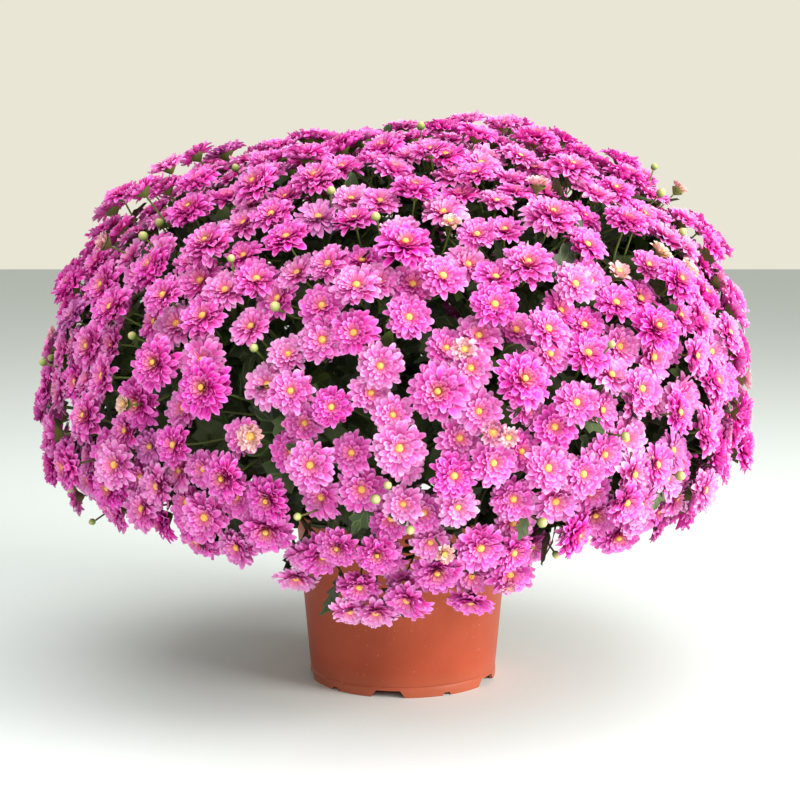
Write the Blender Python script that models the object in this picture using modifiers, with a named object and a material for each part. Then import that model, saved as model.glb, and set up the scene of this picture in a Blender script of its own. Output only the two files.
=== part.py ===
"""A potted garden chrysanthemum in full flower, standing in a moulded plastic grower's pot.

Five rooted cuttings stand in the potting soil. Each has a woody stem that forks above the rim into
branches, and each branch carries one spray: a tuft of flower stalks with a double bloom on each.
Metres, +Z up, with the origin on the floor under the middle of the pot.
"""

import math
import random
from collections import namedtuple
from itertools import product

import bmesh
import bpy
from mathutils import Matrix, Vector
from mathutils.bvhtree import BVHTree

MM = 0.001
GAP = 0.3 * MM  # between pieces that rest on each other

# The pot: an injection-moulded plastic tub with a lip and a notched foot ring
POT_HEIGHT = 145 * MM
POT_TOP_RADIUS = 95 * MM
POT_BASE_RADIUS = 80 * MM
POT_WALL = 1.8 * MM
LIP_DEPTH = 12 * MM
LIP_OVERHANG = 2.2 * MM
FOOT_HEIGHT = 8 * MM
FOOT_STEP = 0.8 * MM
FLOOR_UNDERSIDE = 7.2 * MM
FLOOR_THICKNESS = 2.4 * MM
POT_SIDES = 28
NOTCH_PAIRS = 5
NOTCH_TURN = math.radians(-99)  # the widest notch stands a little left of the front
WIDE_NOTCH = (20 * MM, 32 * MM, 6 * MM)  # top width, bottom width, height
NARROW_NOTCH = (5 * MM, 9 * MM, 2.6 * MM)
NOTCH_BLOCK = 16 * MM  # how thick the block is that cuts a notch
DRAIN_RADIUS = 5 * MM
DRAIN_RING = 0.7 * POT_BASE_RADIUS
SPIN_WELD = 0.05 * MM

# The soil fills the pot to a finger's width under the lip
SOIL_TOP = 131 * MM
SOIL_MOUND = 5 * MM
SOIL_SHOULDER = 0.5 * POT_TOP_RADIUS  # where the mound starts to fall away
SOIL_CLEAR = 1.2 * GAP
STEM_CLEAR = 1.5 * GAP
STEM_HOLE_DEPTH = 36 * MM
HOLE_SIDES = 6

# The head of flowers: a dome with full shoulders over a flatter skirt that is cut off below
DOME_RADIUS = 298 * MM
DOME_MIDDLE = 238 * MM
DOME_RISE = 236 * MM
DOME_DROP = 172 * MM
DOME_SHOULDER = 0.9  # less than 1 fills the shoulders out
SKIRT_TILT = math.radians(130)  # measured from straight up
CROWN_SHIFT = Vector((0.030, 0.0, 0.0))  # the top leans to the right of the pot
TILT_STEPS = 240
LEAST_ACROSS = 0.15  # of the head's radius, for places near its top
GOLDEN_ANGLE = math.pi * (3 - math.sqrt(5))

PLANTS = 5
SPRAYS = 46
BLOOMS = 400
SITE_JITTER = 9 * MM
SEED = 8

# The stems
STEM_RING_RADIUS = 42 * MM
STEM_RADIUS = 4.2 * MM
STEM_TAPER = 0.9
FORK_HEIGHT = 163 * MM
FORK_TOP = 3 * MM  # the woody stem ends this far above the fork
BRANCH_RADII = (2.6 * MM, 1.5 * MM)
BRANCH_POINTS = 4
BRANCH_ARCH = 0.35  # how far up the branch leaves the fork, as a share of its reach
HUB_DEPTH = 68 * MM  # from the flowers of a spray down to where their stalks meet
HUB_RADIUS = 3.2 * MM
SLICE_REACH = math.radians(55)  # of the hub, on each side of a stalk
EMPTY_SLICE = math.radians(110)
ROUNDING = 0.001
STALK_RADIUS = 1.3 * MM
STEM_WELD = 0.02 * MM

# The blooms
LEVEL_STEP = 8 * MM  # neighbouring blooms stand at different heights
LEVELS = 3
LEVEL_REACH = 45 * MM
SPRAY_MOUND = 9 * MM
SPRAY_SPREAD = 75 * MM
SIDE_GAP = 1.2 * MM
OVERLAP = 4.5 * MM  # how far a flat bloom may reach over one that stands lower
FLAT_LEAST = 14 * MM
DOWNWARD = 0.35  # of how far the head's surface faces down, a flower faces down
STALK_PULL = 0.45  # how strongly a flower faces along its stalk
SWAY = 0.24  # how far it turns at random
LIGHT_PULL = 0.16  # how strongly it turns up to the light
SETTLE_ROUNDS = 6
HUB_SHIFTS = [shift * MM for shift in (0, 4, -4, 8, -8, 12)]
HUB_CROWNS = (0.6, 1.2, 2.5, 0.0)  # height of the hub's middle, in hub radii
SETTLE_TURN = 0.1
SETTLE_SHRINK = 0.04

# Share of the flowers, least and most radius, petals in the outline and in the inner ring. The last
# four are in radii of the bloom: height of the outline, reach of its notches, height of the middle
# and depth of the stalk's end.
Kind = namedtuple("Kind", "name share least most petals inner cup notch top seat")
KINDS = (
    Kind("double", 0.32, 20.0 * MM, 23.5 * MM, 5, 5, 0.06, 0.76, 0.24, 0.42),
    Kind("semi_double", 0.48, 18.0 * MM, 21.5 * MM, 5, 0, 0.1, 0.76, 0.12, 0.42),
    Kind("opening", 0.12, 10.5 * MM, 13.0 * MM, 4, 0, 0.55, 0.76, 0.22, 0.42),
    Kind("bud", 0.08, 4.5 * MM, 5.5 * MM, 2, 0, 0.3, 0.9, 1.3, 1.0),
)
PETAL_LIFTS = (-0.05, 0.07)  # petals of the outline stand low and high by turns
NOTCH_DROP = 0.1
INNER_RING = (0.52, 0.36)  # radius and height of the inner petals' tips
Bloom = namedtuple("Bloom", "kind centre facing radius turn spray")
Spray = namedtuple("Spray", "centre outward hub plant crown")
Leaf = namedtuple("Leaf", "root along up length share")

# Leaves: pairs of distance along the rib and half width, for one side of a lobed blade
LEAF_SIDE = ((0.30, 0.27), (0.46, 0.165), (0.74, 0.245))
LEAF_LENGTHS = (44 * MM, 58 * MM)
LEAF_STALK = (1.2 * MM, 0.9 * MM)  # half width and half thickness where the blade begins
LEAF_ARCH = 0.16
LEAF_BACK = 0.4  # how far its upper face leans back from the stem
BLADE_START = 2.5 * BRANCH_RADII[0]
SPINE_SHARES = (0.3, 0.65, 1.0)  # of the rib, where its room is measured
TIP_OVER_RIM = 0.15  # of its length, for a leaf whose tip is near the pot
TIP_BESIDE_RIM = 1.3 * POT_TOP_RADIUS
SIDE_REACH = 10 * MM  # how far along a stem a leaf may move to find a side
LEAF_PLACES = (0.90, 0.55)  # along the branch
LEAF_SPREAD = math.radians(66)  # between the blade and the branch
LEAF_TURNS = 13
LEAF_ROOM = 9 * MM  # least distance from a leaf's rib to other ribs and stems
STEM_SAMPLES = 12
WEDGE_MARGIN = 7 * MM


def polar(radius, azimuth, height):
    return Vector((radius * math.cos(azimuth), radius * math.sin(azimuth), height))


def dome_point(tilt, azimuth):
    """The place on the head of flowers, and its outward normal."""
    rise = DOME_RISE if tilt < math.pi / 2 else DOME_DROP
    power = DOME_SHOULDER if tilt < math.pi / 2 else 1.0
    out, up = math.sin(tilt), math.cos(tilt)
    height = math.copysign(abs(up) ** power, up)
    place = polar(DOME_RADIUS * out**power, azimuth, DOME_MIDDLE + rise * height)
    steep = 2 - power
    slope = math.copysign(abs(up) ** steep, up)
    normal = polar(out**steep / DOME_RADIUS, azimuth, slope / rise).normalized()
    return place + CROWN_SHIFT * max(0.0, up) ** 2, normal


def equal_area_tilts(count):
    """The tilts that part the head into rings of equal area, one for each of count places."""
    areas, tilts = [0.0], [0.0]
    for step in range(TILT_STEPS):
        tilt = SKIRT_TILT * (step + 0.5) / TILT_STEPS
        rise = DOME_RISE if tilt < math.pi / 2 else DOME_DROP
        slope = math.hypot(DOME_RADIUS * math.cos(tilt), rise * math.sin(tilt))
        areas.append(areas[-1] + slope * DOME_RADIUS * math.sin(tilt))
        tilts.append(SKIRT_TILT * (step + 1) / TILT_STEPS)
    found, step = [], 0
    for i in range(count):
        wanted = areas[-1] * (i + 0.5) / count
        while areas[step + 1] < wanted:
            step += 1
        share = (wanted - areas[step]) / (areas[step + 1] - areas[step])
        found.append(tilts[step] + share * (tilts[step + 1] - tilts[step]))
    return found


def dome_sites(count, draw, jitter):
    """Places spread evenly over the head on a golden-angle spiral, each moved a little at random."""
    sites = []
    for i, tilt in enumerate(equal_area_tilts(count)):
        azimuth = i * GOLDEN_ANGLE
        across = max(LEAST_ACROSS, math.sin(tilt)) * DOME_RADIUS
        azimuth += draw.uniform(-jitter, jitter) / across
        tilt += draw.uniform(-jitter, jitter) / DOME_RADIUS
        sites.append(dome_point(min(max(tilt, 0.0), SKIRT_TILT), azimuth))
    return sites


def kind_of(number):
    """The kind of bloom for a random number from 0 to 1."""
    for kind in KINDS:
        number -= kind.share
        if number < 0:
            return kind
    return KINDS[0]


def flower_levels(sites):
    """How deep each bloom stands, so that it differs from those beside it."""
    levels = []
    for i, (place, _) in enumerate(sites):
        near = {levels[j] for j in range(i) if (sites[j][0] - place).length < LEVEL_REACH}
        free = [level for level in range(LEVELS) if level not in near]
        levels.append(free[0] if free else i % LEVELS)
    return levels


def fitted_radii(places, levels, radii):
    """The radii, drawn in until each pair is clear, rim to rim or with one flat bloom over another."""
    for i in range(len(places)):
        for j in range(i):
            room = (places[i] - places[j]).length
            over = levels[i] != levels[j] and min(radii[i], radii[j]) > FLAT_LEAST
            room += OVERLAP if over else -SIDE_GAP
            over = radii[i] + radii[j] - room
            if over > 0:
                share = radii[i] / (radii[i] + radii[j])
                radii[i] -= over * share
                radii[j] -= over * (1 - share)
    return radii


def facing_of(normal, stalk, draw):
    """Which way a flower faces, from the head's normal and the direction of its stalk."""
    surface = Vector((normal.x, normal.y, max(normal.z, DOWNWARD * normal.z)))
    sway = Vector([draw.uniform(-SWAY, SWAY) for _ in range(3)])
    return (surface + STALK_PULL * stalk + sway + Vector((0, 0, LIGHT_PULL))).normalized()


def plan_sprays(centres, sites, nearest):
    """The sprays, each with its hub under the middle of its own flowers."""
    sprays = []
    for s, (centre, _) in enumerate(centres):
        members = [site for site, owner in zip(sites, nearest) if owner == s]
        middle = sum((place for place, _ in members), Vector()) / len(members)
        outward = sum((normal for _, normal in members), Vector()).normalized()
        hub = middle - outward * HUB_DEPTH
        plant = int((math.atan2(hub.y, hub.x) % math.tau) / (math.tau / PLANTS))
        sprays.append(Spray(centre, outward, hub, plant, HUB_CROWNS[0]))
    return sprays


def plan_plant():
    """Every spray and every bloom of the plant."""
    draw = random.Random(SEED)
    centres = dome_sites(SPRAYS, draw, 0.0)
    sites = dome_sites(BLOOMS, draw, SITE_JITTER)
    levels = flower_levels(sites)
    nearest = [
        min(range(SPRAYS), key=lambda s: (centres[s][0] - place).length) for place, _ in sites
    ]
    sprays = plan_sprays(centres, sites, nearest)
    kinds, places, radii = [], [], []
    for (place, normal), level, owner in zip(sites, levels, nearest):
        kind = kind_of(draw.random())
        off_centre = (place - sprays[owner].centre).length / SPRAY_SPREAD
        height = SPRAY_MOUND * (0.5 - off_centre**2) - LEVEL_STEP * level
        kinds.append(kind)
        places.append(place + normal * height)
        radii.append(draw.uniform(kind.least, kind.most))
    radii = fitted_radii(places, levels, radii)
    blooms = []
    for i, (_, normal) in enumerate(sites):
        stalk = (places[i] - sprays[nearest[i]].hub).normalized()
        facing = facing_of(normal, stalk, draw)
        turn = draw.uniform(0, math.tau)
        blooms.append(Bloom(kinds[i], places[i], facing, radii[i], turn, nearest[i]))
    return sprays, blooms


def fork_of(plant):
    """Where the plant's woody stem forks into its branches."""
    azimuth = (plant + 0.5) * math.tau / PLANTS
    return polar(STEM_RING_RADIUS, azimuth, FORK_HEIGHT)


def branch_path(spray):
    """The branch from the fork, arching up and out to just under the hub of its spray."""
    start = fork_of(spray.plant)
    end = spray.hub - spray.outward * (HUB_RADIUS + GAP)
    bend = start + Vector((0, 0, BRANCH_ARCH * (end - start).length))
    path = []
    for i in range(BRANCH_POINTS):
        t = i / (BRANCH_POINTS - 1)
        path.append(start * (1 - t) ** 2 + bend * 2 * t * (1 - t) + end * t**2)
    return path


def point_along(path, share):
    """The place at a share of the path's points, and the direction of the path there."""
    at = share * (len(path) - 1)
    i = min(int(at), len(path) - 2)
    return path[i].lerp(path[i + 1], at - i), (path[i + 1] - path[i]).normalized()


def inside_wedge(place, plant):
    """Whether the place is clear of the planes that part this plant from its neighbours."""
    for side, sign in ((plant, 1), (plant + 1, -1)):
        azimuth = side * math.tau / PLANTS
        across = place.y * math.cos(azimuth) - place.x * math.sin(azimuth)
        if sign * across < WEDGE_MARGIN:
            return False
    return True


def leaf_spine(leaf):
    """Points along the rib of a leaf, which arches down to its tip."""
    return [
        leaf.root + leaf.along * (share * leaf.length) - leaf.up * (LEAF_ARCH * leaf.length * share**2)
        for share in SPINE_SHARES
    ]


def over_rim(tip, length):
    """Whether a leaf's tip is clear of the pot's rim."""
    return tip.z > POT_HEIGHT + TIP_OVER_RIM * length or tip.xy.length > TIP_BESIDE_RIM


def leaf_choices(path, share, plant, taken, draw):
    """The ways in which a leaf could stand at a place on the branch, with the room that each has."""
    root, stem = point_along(path, share)
    length = draw.uniform(*LEAF_LENGTHS)
    first = draw.uniform(0, math.tau)
    choices = []
    for turn in range(LEAF_TURNS):
        around = Matrix.Rotation(first + turn * GOLDEN_ANGLE, 3, stem)
        around = around @ stem.orthogonal().normalized()
        along = stem * math.cos(LEAF_SPREAD) + around * math.sin(LEAF_SPREAD)
        leaf = Leaf(root, along, (stem - around * LEAF_BACK).normalized(), length, share)
        spine = leaf_spine(leaf)
        if over_rim(spine[-1], length) and all(inside_wedge(place, plant) for place in spine):
            room = min((a - b).length for a in spine for b in taken)
            choices.append((room, turn, leaf, spine))
    return choices


def plan_leaves(sprays):
    """Leaves on each branch, each turned to where its plant leaves it the most room."""
    draw = random.Random(SEED + 1)
    paths = [branch_path(spray) for spray in sprays]
    taken = [[] for _ in range(PLANTS)]
    for spray, path in zip(sprays, paths):
        taken[spray.plant] += [point_along(path, k / STEM_SAMPLES)[0] for k in range(STEM_SAMPLES)]
    leaves = []
    for spray, path in zip(sprays, paths):
        leaves.append([])
        for share in LEAF_PLACES:
            choices = leaf_choices(path, share, spray.plant, taken[spray.plant], draw)
            if choices and max(choices)[0] > LEAF_ROOM:
                _, _, leaf, spine = max(choices)
                leaves[-1].append(leaf)
                taken[spray.plant] += spine
    return leaves


def clear_scene():
    for obj in list(bpy.data.objects):
        bpy.data.objects.remove(obj, do_unlink=True)


def material(name, colour, roughness):
    made = bpy.data.materials.new(name)
    made.use_nodes = True
    shader = made.node_tree.nodes["Principled BSDF"]
    shader.inputs["Base Color"].default_value = (*colour, 1)
    shader.inputs["Roughness"].default_value = roughness
    shader.inputs["Metallic"].default_value = 0.0
    return made


def collection(name, hidden=False):
    made = bpy.data.collections.new(name)
    bpy.context.scene.collection.children.link(made)
    made.hide_render = hidden
    return made


def add_mesh(name, bm, into, finish=None):
    """A mesh object of what bm holds."""
    mesh = bpy.data.meshes.new(name)
    bm.to_mesh(mesh)
    bm.free()
    obj = bpy.data.objects.new(name, mesh)
    into.objects.link(obj)
    if finish:
        mesh.materials.append(finish)
    return obj


def add_cutter(name, bm, into):
    obj = add_mesh(name, bm, into)
    obj.hide_render = True
    obj.display_type = "WIRE"
    return obj


def cut_with(obj, cutters):
    cut = obj.modifiers.new("cut", "BOOLEAN")
    cut.operation = "DIFFERENCE"
    cut.operand_type = "COLLECTION"
    cut.collection = cutters
    cut.solver = "EXACT"


def turned(name, profile, into, finish):
    """A solid of revolution. The profile runs from the axis, up inside, down outside and back."""
    bm = bmesh.new()
    points = [bm.verts.new((radius, 0, height)) for radius, height in profile]
    for a, b in zip(points, points[1:]):
        bm.edges.new((a, b))
    obj = add_mesh(name, bm, into, finish)
    spin = obj.modifiers.new("spin", "SCREW")
    spin.steps = spin.render_steps = POT_SIDES
    spin.use_merge_vertices = True
    spin.merge_threshold = SPIN_WELD
    spin.use_smooth_shade = False
    return obj


def wall_radius(height):
    """Outer radius of the pot's tapered wall."""
    return POT_BASE_RADIUS + (POT_TOP_RADIUS - LIP_OVERHANG - POT_BASE_RADIUS) * height / POT_HEIGHT


def notch_cutter(name, azimuth, shape, into):
    """A block with leaning ends that cuts one notch up into the foot ring."""
    top, bottom, height = shape
    bm = bmesh.new()
    bmesh.ops.create_cube(bm, size=1.0)
    for vert in bm.verts:
        width = top if vert.co.z > 0 else bottom + (bottom - top) / 2
        vert.co = Vector((vert.co.x * NOTCH_BLOCK, vert.co.y * width, vert.co.z * 2 * height))
    place = Matrix.Translation(polar(POT_BASE_RADIUS, azimuth, 0)) @ Matrix.Rotation(azimuth, 4, "Z")
    bmesh.ops.transform(bm, matrix=place, verts=bm.verts)
    return add_cutter(name, bm, into)


def hole_cutter(name, place, radius, depth, into):
    """An upright six-sided block that cuts one round hole."""
    bm = bmesh.new()
    bmesh.ops.create_cone(
        bm, cap_ends=True, segments=HOLE_SIDES, radius1=radius, radius2=radius,
        depth=depth, matrix=Matrix.Translation(place),
    )
    return add_cutter(name, bm, into)


def build_pot(into, finish):
    floor = FLOOR_UNDERSIDE + FLOOR_THICKNESS
    lip_under = POT_HEIGHT - LIP_DEPTH
    inner = wall_radius(floor) - POT_WALL
    profile = (
        (0, floor),
        (inner, floor),
        (wall_radius(POT_HEIGHT) - POT_WALL, POT_HEIGHT),
        (POT_TOP_RADIUS, POT_HEIGHT),
        (POT_TOP_RADIUS, lip_under),
        (wall_radius(lip_under), lip_under),
        (wall_radius(FOOT_HEIGHT), FOOT_HEIGHT),
        (wall_radius(0) + FOOT_STEP, FOOT_HEIGHT - FOOT_STEP),
        (wall_radius(0) + FOOT_STEP, 0),
        (wall_radius(0) - POT_WALL - FOOT_STEP, 0),
        (wall_radius(0) - POT_WALL - FOOT_STEP, FLOOR_UNDERSIDE),
        (0, FLOOR_UNDERSIDE),
    )
    pot = turned("pot", profile, into, finish)
    cutters = collection("pot_cutters", hidden=True)
    step = math.tau / NOTCH_PAIRS
    for i in range(NOTCH_PAIRS):
        azimuth = NOTCH_TURN + i * step
        notch_cutter(f"wide_notch_{i}", azimuth, WIDE_NOTCH, cutters)
        notch_cutter(f"narrow_notch_{i}", azimuth + step / 2, NARROW_NOTCH, cutters)
        depth = 4 * FLOOR_THICKNESS
        hole_cutter(f"drain_hole_{i}", polar(DRAIN_RING, azimuth, floor), DRAIN_RADIUS, depth, cutters)
    cut_with(pot, cutters)
    return pot


def build_soil(into, finish):
    bottom = FLOOR_UNDERSIDE + FLOOR_THICKNESS + GAP
    top = SOIL_TOP + SOIL_MOUND
    clear = POT_WALL + SOIL_CLEAR
    profile = (
        (0, top),
        (SOIL_SHOULDER, top),
        (wall_radius(SOIL_TOP) - clear, SOIL_TOP),
        (wall_radius(bottom) - clear, bottom),
        (0, bottom),
    )
    soil = turned("potting_soil", profile, into, finish)
    cutters = collection("stem_hole_cutters", hidden=True)
    hole = (STEM_RADIUS + STEM_CLEAR) / math.cos(math.pi / HOLE_SIDES)
    for plant in range(PLANTS):
        place = fork_of(plant)
        place.z = top
        hole_cutter(f"stem_hole_{plant}", place, hole, 2 * STEM_HOLE_DEPTH, cutters)
    cut_with(soil, cutters)
    return soil


def loft(bm, inner, outer):
    """Triangles between two rings of unlike counts, both wound alike round the outward direction."""
    i = j = 0
    while i < len(inner) or j < len(outer):
        a, b = inner[i % len(inner)], outer[j % len(outer)]
        if j * len(inner) <= i * len(outer) and j < len(outer):
            bm.faces.new((a, b, outer[(j + 1) % len(outer)]))
            j += 1
        else:
            bm.faces.new((a, b, inner[(i + 1) % len(inner)]))
            i += 1


def started_near(ring, direction, middle):
    """The ring, begun at its vertex that lies furthest in the direction."""
    first = max(range(len(ring)), key=lambda k: (ring[k].co - middle).dot(direction))
    return ring[first:] + ring[:first]


def add_bloom(bm, bloom, seat):
    """One bloom on the three vertices of its stalk's top. A tall inner ring stands for the inner petals."""
    frame = bloom.facing.to_track_quat("Z", "Y").to_matrix()
    frame = frame @ Matrix.Rotation(bloom.turn, 3, "Z")

    def at(radius, angle, height):
        return bm.verts.new(bloom.centre + frame @ (polar(radius, angle, height) * bloom.radius))

    kind = bloom.kind
    step = math.tau / kind.petals
    outline = []
    for petal in range(kind.petals):
        outline.append(at(1.0, petal * step, kind.cup + PETAL_LIFTS[petal % 2]))
        outline.append(at(kind.notch, (petal + 0.5) * step, kind.cup - NOTCH_DROP))
    top = at(0, 0, kind.top)
    if kind.inner:
        radius, height = INNER_RING
        ring = [at(radius, (k + 0.5) * step, height) for k in range(kind.inner)]
        for a, b in zip(ring, ring[1:] + ring[:1]):
            bm.faces.new((top, a, b))
        loft(bm, ring, outline[1:] + outline[:1])
    else:
        for a, b in zip(outline, outline[1:] + outline[:1]):
            bm.faces.new((top, a, b))
    middle = sum((vert.co for vert in seat), Vector()) / 3
    outline = started_near(outline, seat[0].co - middle, middle)
    loft(bm, outline[:1] + outline[:0:-1], seat[:1] + seat[:0:-1])


def seat_ring(bm, bloom, slice_corners):
    """The top of a stalk: three vertices round the bloom's base, turned like its slice of the hub."""
    base = bloom.centre - bloom.facing * (bloom.kind.seat * bloom.radius)
    middle = sum(slice_corners, Vector()) / 3
    stalk = (base - middle).normalized()
    ring = []
    for corner in slice_corners:
        outward = corner - middle
        outward -= stalk * outward.dot(stalk)
        ring.append(bm.verts.new(base + outward.normalized() * STALK_RADIUS))
    return ring


def crossing_blooms(bm, owners):
    """The blooms whose triangles meet others that they share no corner with."""
    tree = BVHTree.FromBMesh(bm)
    bm.faces.ensure_lookup_table()
    found = set()
    for a, b in tree.overlap(tree):
        if a < b and not set(bm.faces[a].verts) & set(bm.faces[b].verts):
            found |= {owners[a], owners[b]}
    return found


def straightened(bloom, spray):
    """The bloom turned a little towards the line of its stalk, and a little smaller."""
    stalk = (bloom.centre - spray.hub).normalized()
    facing = (bloom.facing + SETTLE_TURN * stalk).normalized()
    return bloom._replace(facing=facing, radius=(1 - SETTLE_SHRINK) * bloom.radius)


def settled(spray, blooms):
    """The blooms, with those that would cross others straightened, and whether all are clear then."""
    for _ in range(SETTLE_ROUNDS):
        bm, owners = fill_spray(spray, blooms)
        crossing = crossing_blooms(bm, owners)
        bm.free()
        if not crossing:
            return blooms, True
        blooms = [straightened(b, spray) if i in crossing else b for i, b in enumerate(blooms)]
    return blooms, False


def settle_sprays(sprays, blooms):
    """Each spray with its own blooms, and its hub moved and shaped so that they all come clear."""
    found = []
    for s, spray in enumerate(sprays):
        members = [bloom for bloom in blooms if bloom.spray == s]
        for crown, shift in product(HUB_CROWNS, HUB_SHIFTS):
            moved = spray._replace(hub=spray.hub + spray.outward * shift, crown=crown)
            placed, clear = settled(moved, members)
            if clear:
                break
        found.append((moved, placed))
    return found


def build_spray(name, spray, blooms, into, finish):
    bm, _ = fill_spray(spray, blooms)
    return add_mesh(name, bm, into, finish)


def hub_slices(spray, blooms, frame):
    """The slices of a hub in order: where each starts, and the bloom whose stalk leaves it, if any."""

    def azimuth(bloom):
        local = frame.transposed() @ (bloom.centre - spray.hub)
        return math.atan2(local.y, local.x) % math.tau

    order = sorted(blooms, key=azimuth)
    angles = [azimuth(bloom) for bloom in order]
    slices = []
    for i, bloom in enumerate(order):
        behind = (angles[i] - angles[i - 1]) % math.tau or math.tau
        ahead = (angles[(i + 1) % len(order)] - angles[i]) % math.tau or math.tau
        reach = min(ahead / 2, SLICE_REACH)
        slices.append((angles[i] - min(behind / 2, SLICE_REACH), bloom))
        spare = ahead - 2 * reach
        parts = math.ceil(spare / EMPTY_SLICE - ROUNDING)
        slices += [(angles[i] + reach + spare * part / parts, None) for part in range(parts)]
    return slices


def fill_spray(spray, blooms):
    """A spray's mesh, and for each face the bloom that it belongs to.

    The stalks leave one hub, each from its own slice of it, so that none cross.
    """
    bm = bmesh.new()
    owners = []
    frame = spray.outward.to_track_quat("Z", "Y").to_matrix()
    slices = hub_slices(spray, blooms, frame)
    ring = [bm.verts.new(spray.hub + frame @ polar(HUB_RADIUS, start, 0)) for start, _ in slices]
    top = bm.verts.new(spray.hub + spray.outward * spray.crown * HUB_RADIUS)
    foot = bm.verts.new(spray.hub - spray.outward * HUB_RADIUS)
    for i, (_, bloom) in enumerate(slices):
        a, b = ring[i], ring[(i + 1) % len(ring)]
        bm.faces.new((foot, b, a))
        if bloom is None:
            bm.faces.new((top, a, b))
            continue
        seat = seat_ring(bm, bloom, [top.co, a.co, b.co])
        owners += [-1] * (len(bm.faces) - len(owners))
        loft(bm, [top, a, b], seat)
        add_bloom(bm, bloom, seat)
        owners += [blooms.index(bloom)] * (len(bm.faces) - len(owners))
    owners += [-1] * (len(bm.faces) - len(owners))
    bmesh.ops.recalc_face_normals(bm, faces=bm.faces)
    return bm, owners


def tube(path, radii):
    """A four-sided tapering stem along the path, as a closed mesh."""
    curve = bpy.data.curves.new("guide", "CURVE")
    curve.dimensions = "3D"
    curve.bevel_depth = 1.0
    curve.bevel_resolution = 0
    curve.use_fill_caps = True
    line = curve.splines.new("POLY")
    line.points.add(len(path) - 1)
    for i, (point, place) in enumerate(zip(line.points, path)):
        share = i / (len(path) - 1)
        point.co = (*place, 1)
        point.radius = radii[0] + (radii[1] - radii[0]) * share
    guide = bpy.data.objects.new("guide", curve)
    bpy.context.scene.collection.objects.link(guide)
    bpy.context.view_layer.update()
    evaluated = guide.evaluated_get(bpy.context.evaluated_depsgraph_get())
    bm = bmesh.new()
    bm.from_mesh(bpy.data.meshes.new_from_object(evaluated))
    bmesh.ops.remove_doubles(bm, verts=bm.verts, dist=STEM_WELD)
    bmesh.ops.recalc_face_normals(bm, faces=bm.faces)
    bpy.data.objects.remove(guide)
    bpy.data.curves.remove(curve)
    return bm


def side_towards(bm, path, leaf):
    """The face on the side of the stem that the leaf grows from."""
    spans = len(path) - 1
    span = min(int(leaf.share * spans), spans - 1)
    middle = (path[span] + path[span + 1]) / 2

    def fit(face):
        return face.normal.dot(leaf.along) - (face.calc_center_median() - middle).length / SIDE_REACH

    return max((face for face in bm.faces if len(face.verts) == 4), key=fit)


def grow_leaf(bm, side, leaf):
    """A lobed blade from one side of the stem: thickest at its stalk, thin at its edge, arched down."""
    across = leaf.up.cross(leaf.along).normalized()
    up = leaf.along.cross(across).normalized()

    def at(along, beside, lift=0.0):
        drop = LEAF_ARCH * leaf.length * along * along
        place = leaf.root + (leaf.along * along + across * beside) * leaf.length
        return bm.verts.new(place + up * (lift - drop))

    width, thickness = LEAF_STALK
    start = BLADE_START / leaf.length
    edge = width / leaf.length
    stalk = [at(start, edge), at(start, 0, thickness), at(start, -edge), at(start, 0, -thickness)]
    socket = started_near(list(side.verts), across, side.calc_center_median())
    bmesh.ops.delete(bm, geom=[side], context="FACES_ONLY")
    loft(bm, stalk, socket)
    outline = [stalk[0]]
    outline += [at(along, half) for along, half in LEAF_SIDE]
    outline += [at(1, 0)]
    outline += [at(along, -half) for along, half in reversed(LEAF_SIDE)]
    outline += [stalk[2]]
    for a, b in zip(outline, outline[1:]):
        bm.faces.new((stalk[1], a, b))
        bm.faces.new((stalk[3], b, a))


def grow_branches(stem, pieces):
    """The stem's mesh joined with those of the branches, as one body."""
    grow = stem.modifiers.new("grow", "BOOLEAN")
    grow.operation = "UNION"
    grow.operand_type = "COLLECTION"
    grow.collection = pieces
    grow.solver = "MANIFOLD"
    bpy.context.view_layer.update()
    evaluated = stem.evaluated_get(bpy.context.evaluated_depsgraph_get())
    grown = bpy.data.meshes.new_from_object(evaluated)
    stem.modifiers.clear()
    stem.data = grown


def build_plant(number, shoots, into, finish):
    """One rooted cutting: woody stem, branches and leaves, grown as one body."""
    pieces = collection(f"pieces_of_plant_{number}")
    fork = fork_of(number)
    foot = Vector((fork.x, fork.y, SOIL_TOP + SOIL_MOUND - STEM_HOLE_DEPTH + GAP))
    trunk = tube([foot, fork + Vector((0, 0, FORK_TOP))], (STEM_RADIUS, STEM_TAPER * STEM_RADIUS))
    stem = add_mesh(f"leafy_stems_{number + 1}", trunk, into, finish)
    for i, (spray, leaves) in enumerate(shoots):
        path = branch_path(spray)
        bm = tube(path, BRANCH_RADII)
        sides = [side_towards(bm, path, leaf) for leaf in leaves]
        for side, leaf in zip(sides, leaves):
            grow_leaf(bm, side, leaf)
        bmesh.ops.recalc_face_normals(bm, faces=bm.faces)
        add_mesh(f"branch_{number}_{i}", bm, pieces, finish)
    grow_branches(stem, pieces)
    for obj in list(pieces.objects):
        bpy.data.objects.remove(obj)
    bpy.data.collections.remove(pieces)
    return stem


def main():
    clear_scene()
    into = collection("pot_chrysanthemum")
    plastic = material("terracotta_plastic", (0.48, 0.13, 0.065), 0.45)
    peat = material("potting_soil", (0.045, 0.028, 0.018), 0.95)
    petal = material("pink_petals", (0.72, 0.13, 0.50), 0.6)
    green = material("green_foliage", (0.07, 0.15, 0.035), 0.55)
    build_pot(into, plastic)
    build_soil(into, peat)
    settled_sprays = settle_sprays(*plan_plant())
    sprays = [spray for spray, _ in settled_sprays]
    leaves = plan_leaves(sprays)
    for s, (spray, blooms) in enumerate(settled_sprays):
        build_spray(f"spray_{s + 1:02d}", spray, blooms, into, petal)
    for number in range(PLANTS):
        shoots = [shoot for shoot in zip(sprays, leaves) if shoot[0].plant == number]
        build_plant(number, shoots, into, green)


main()
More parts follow.
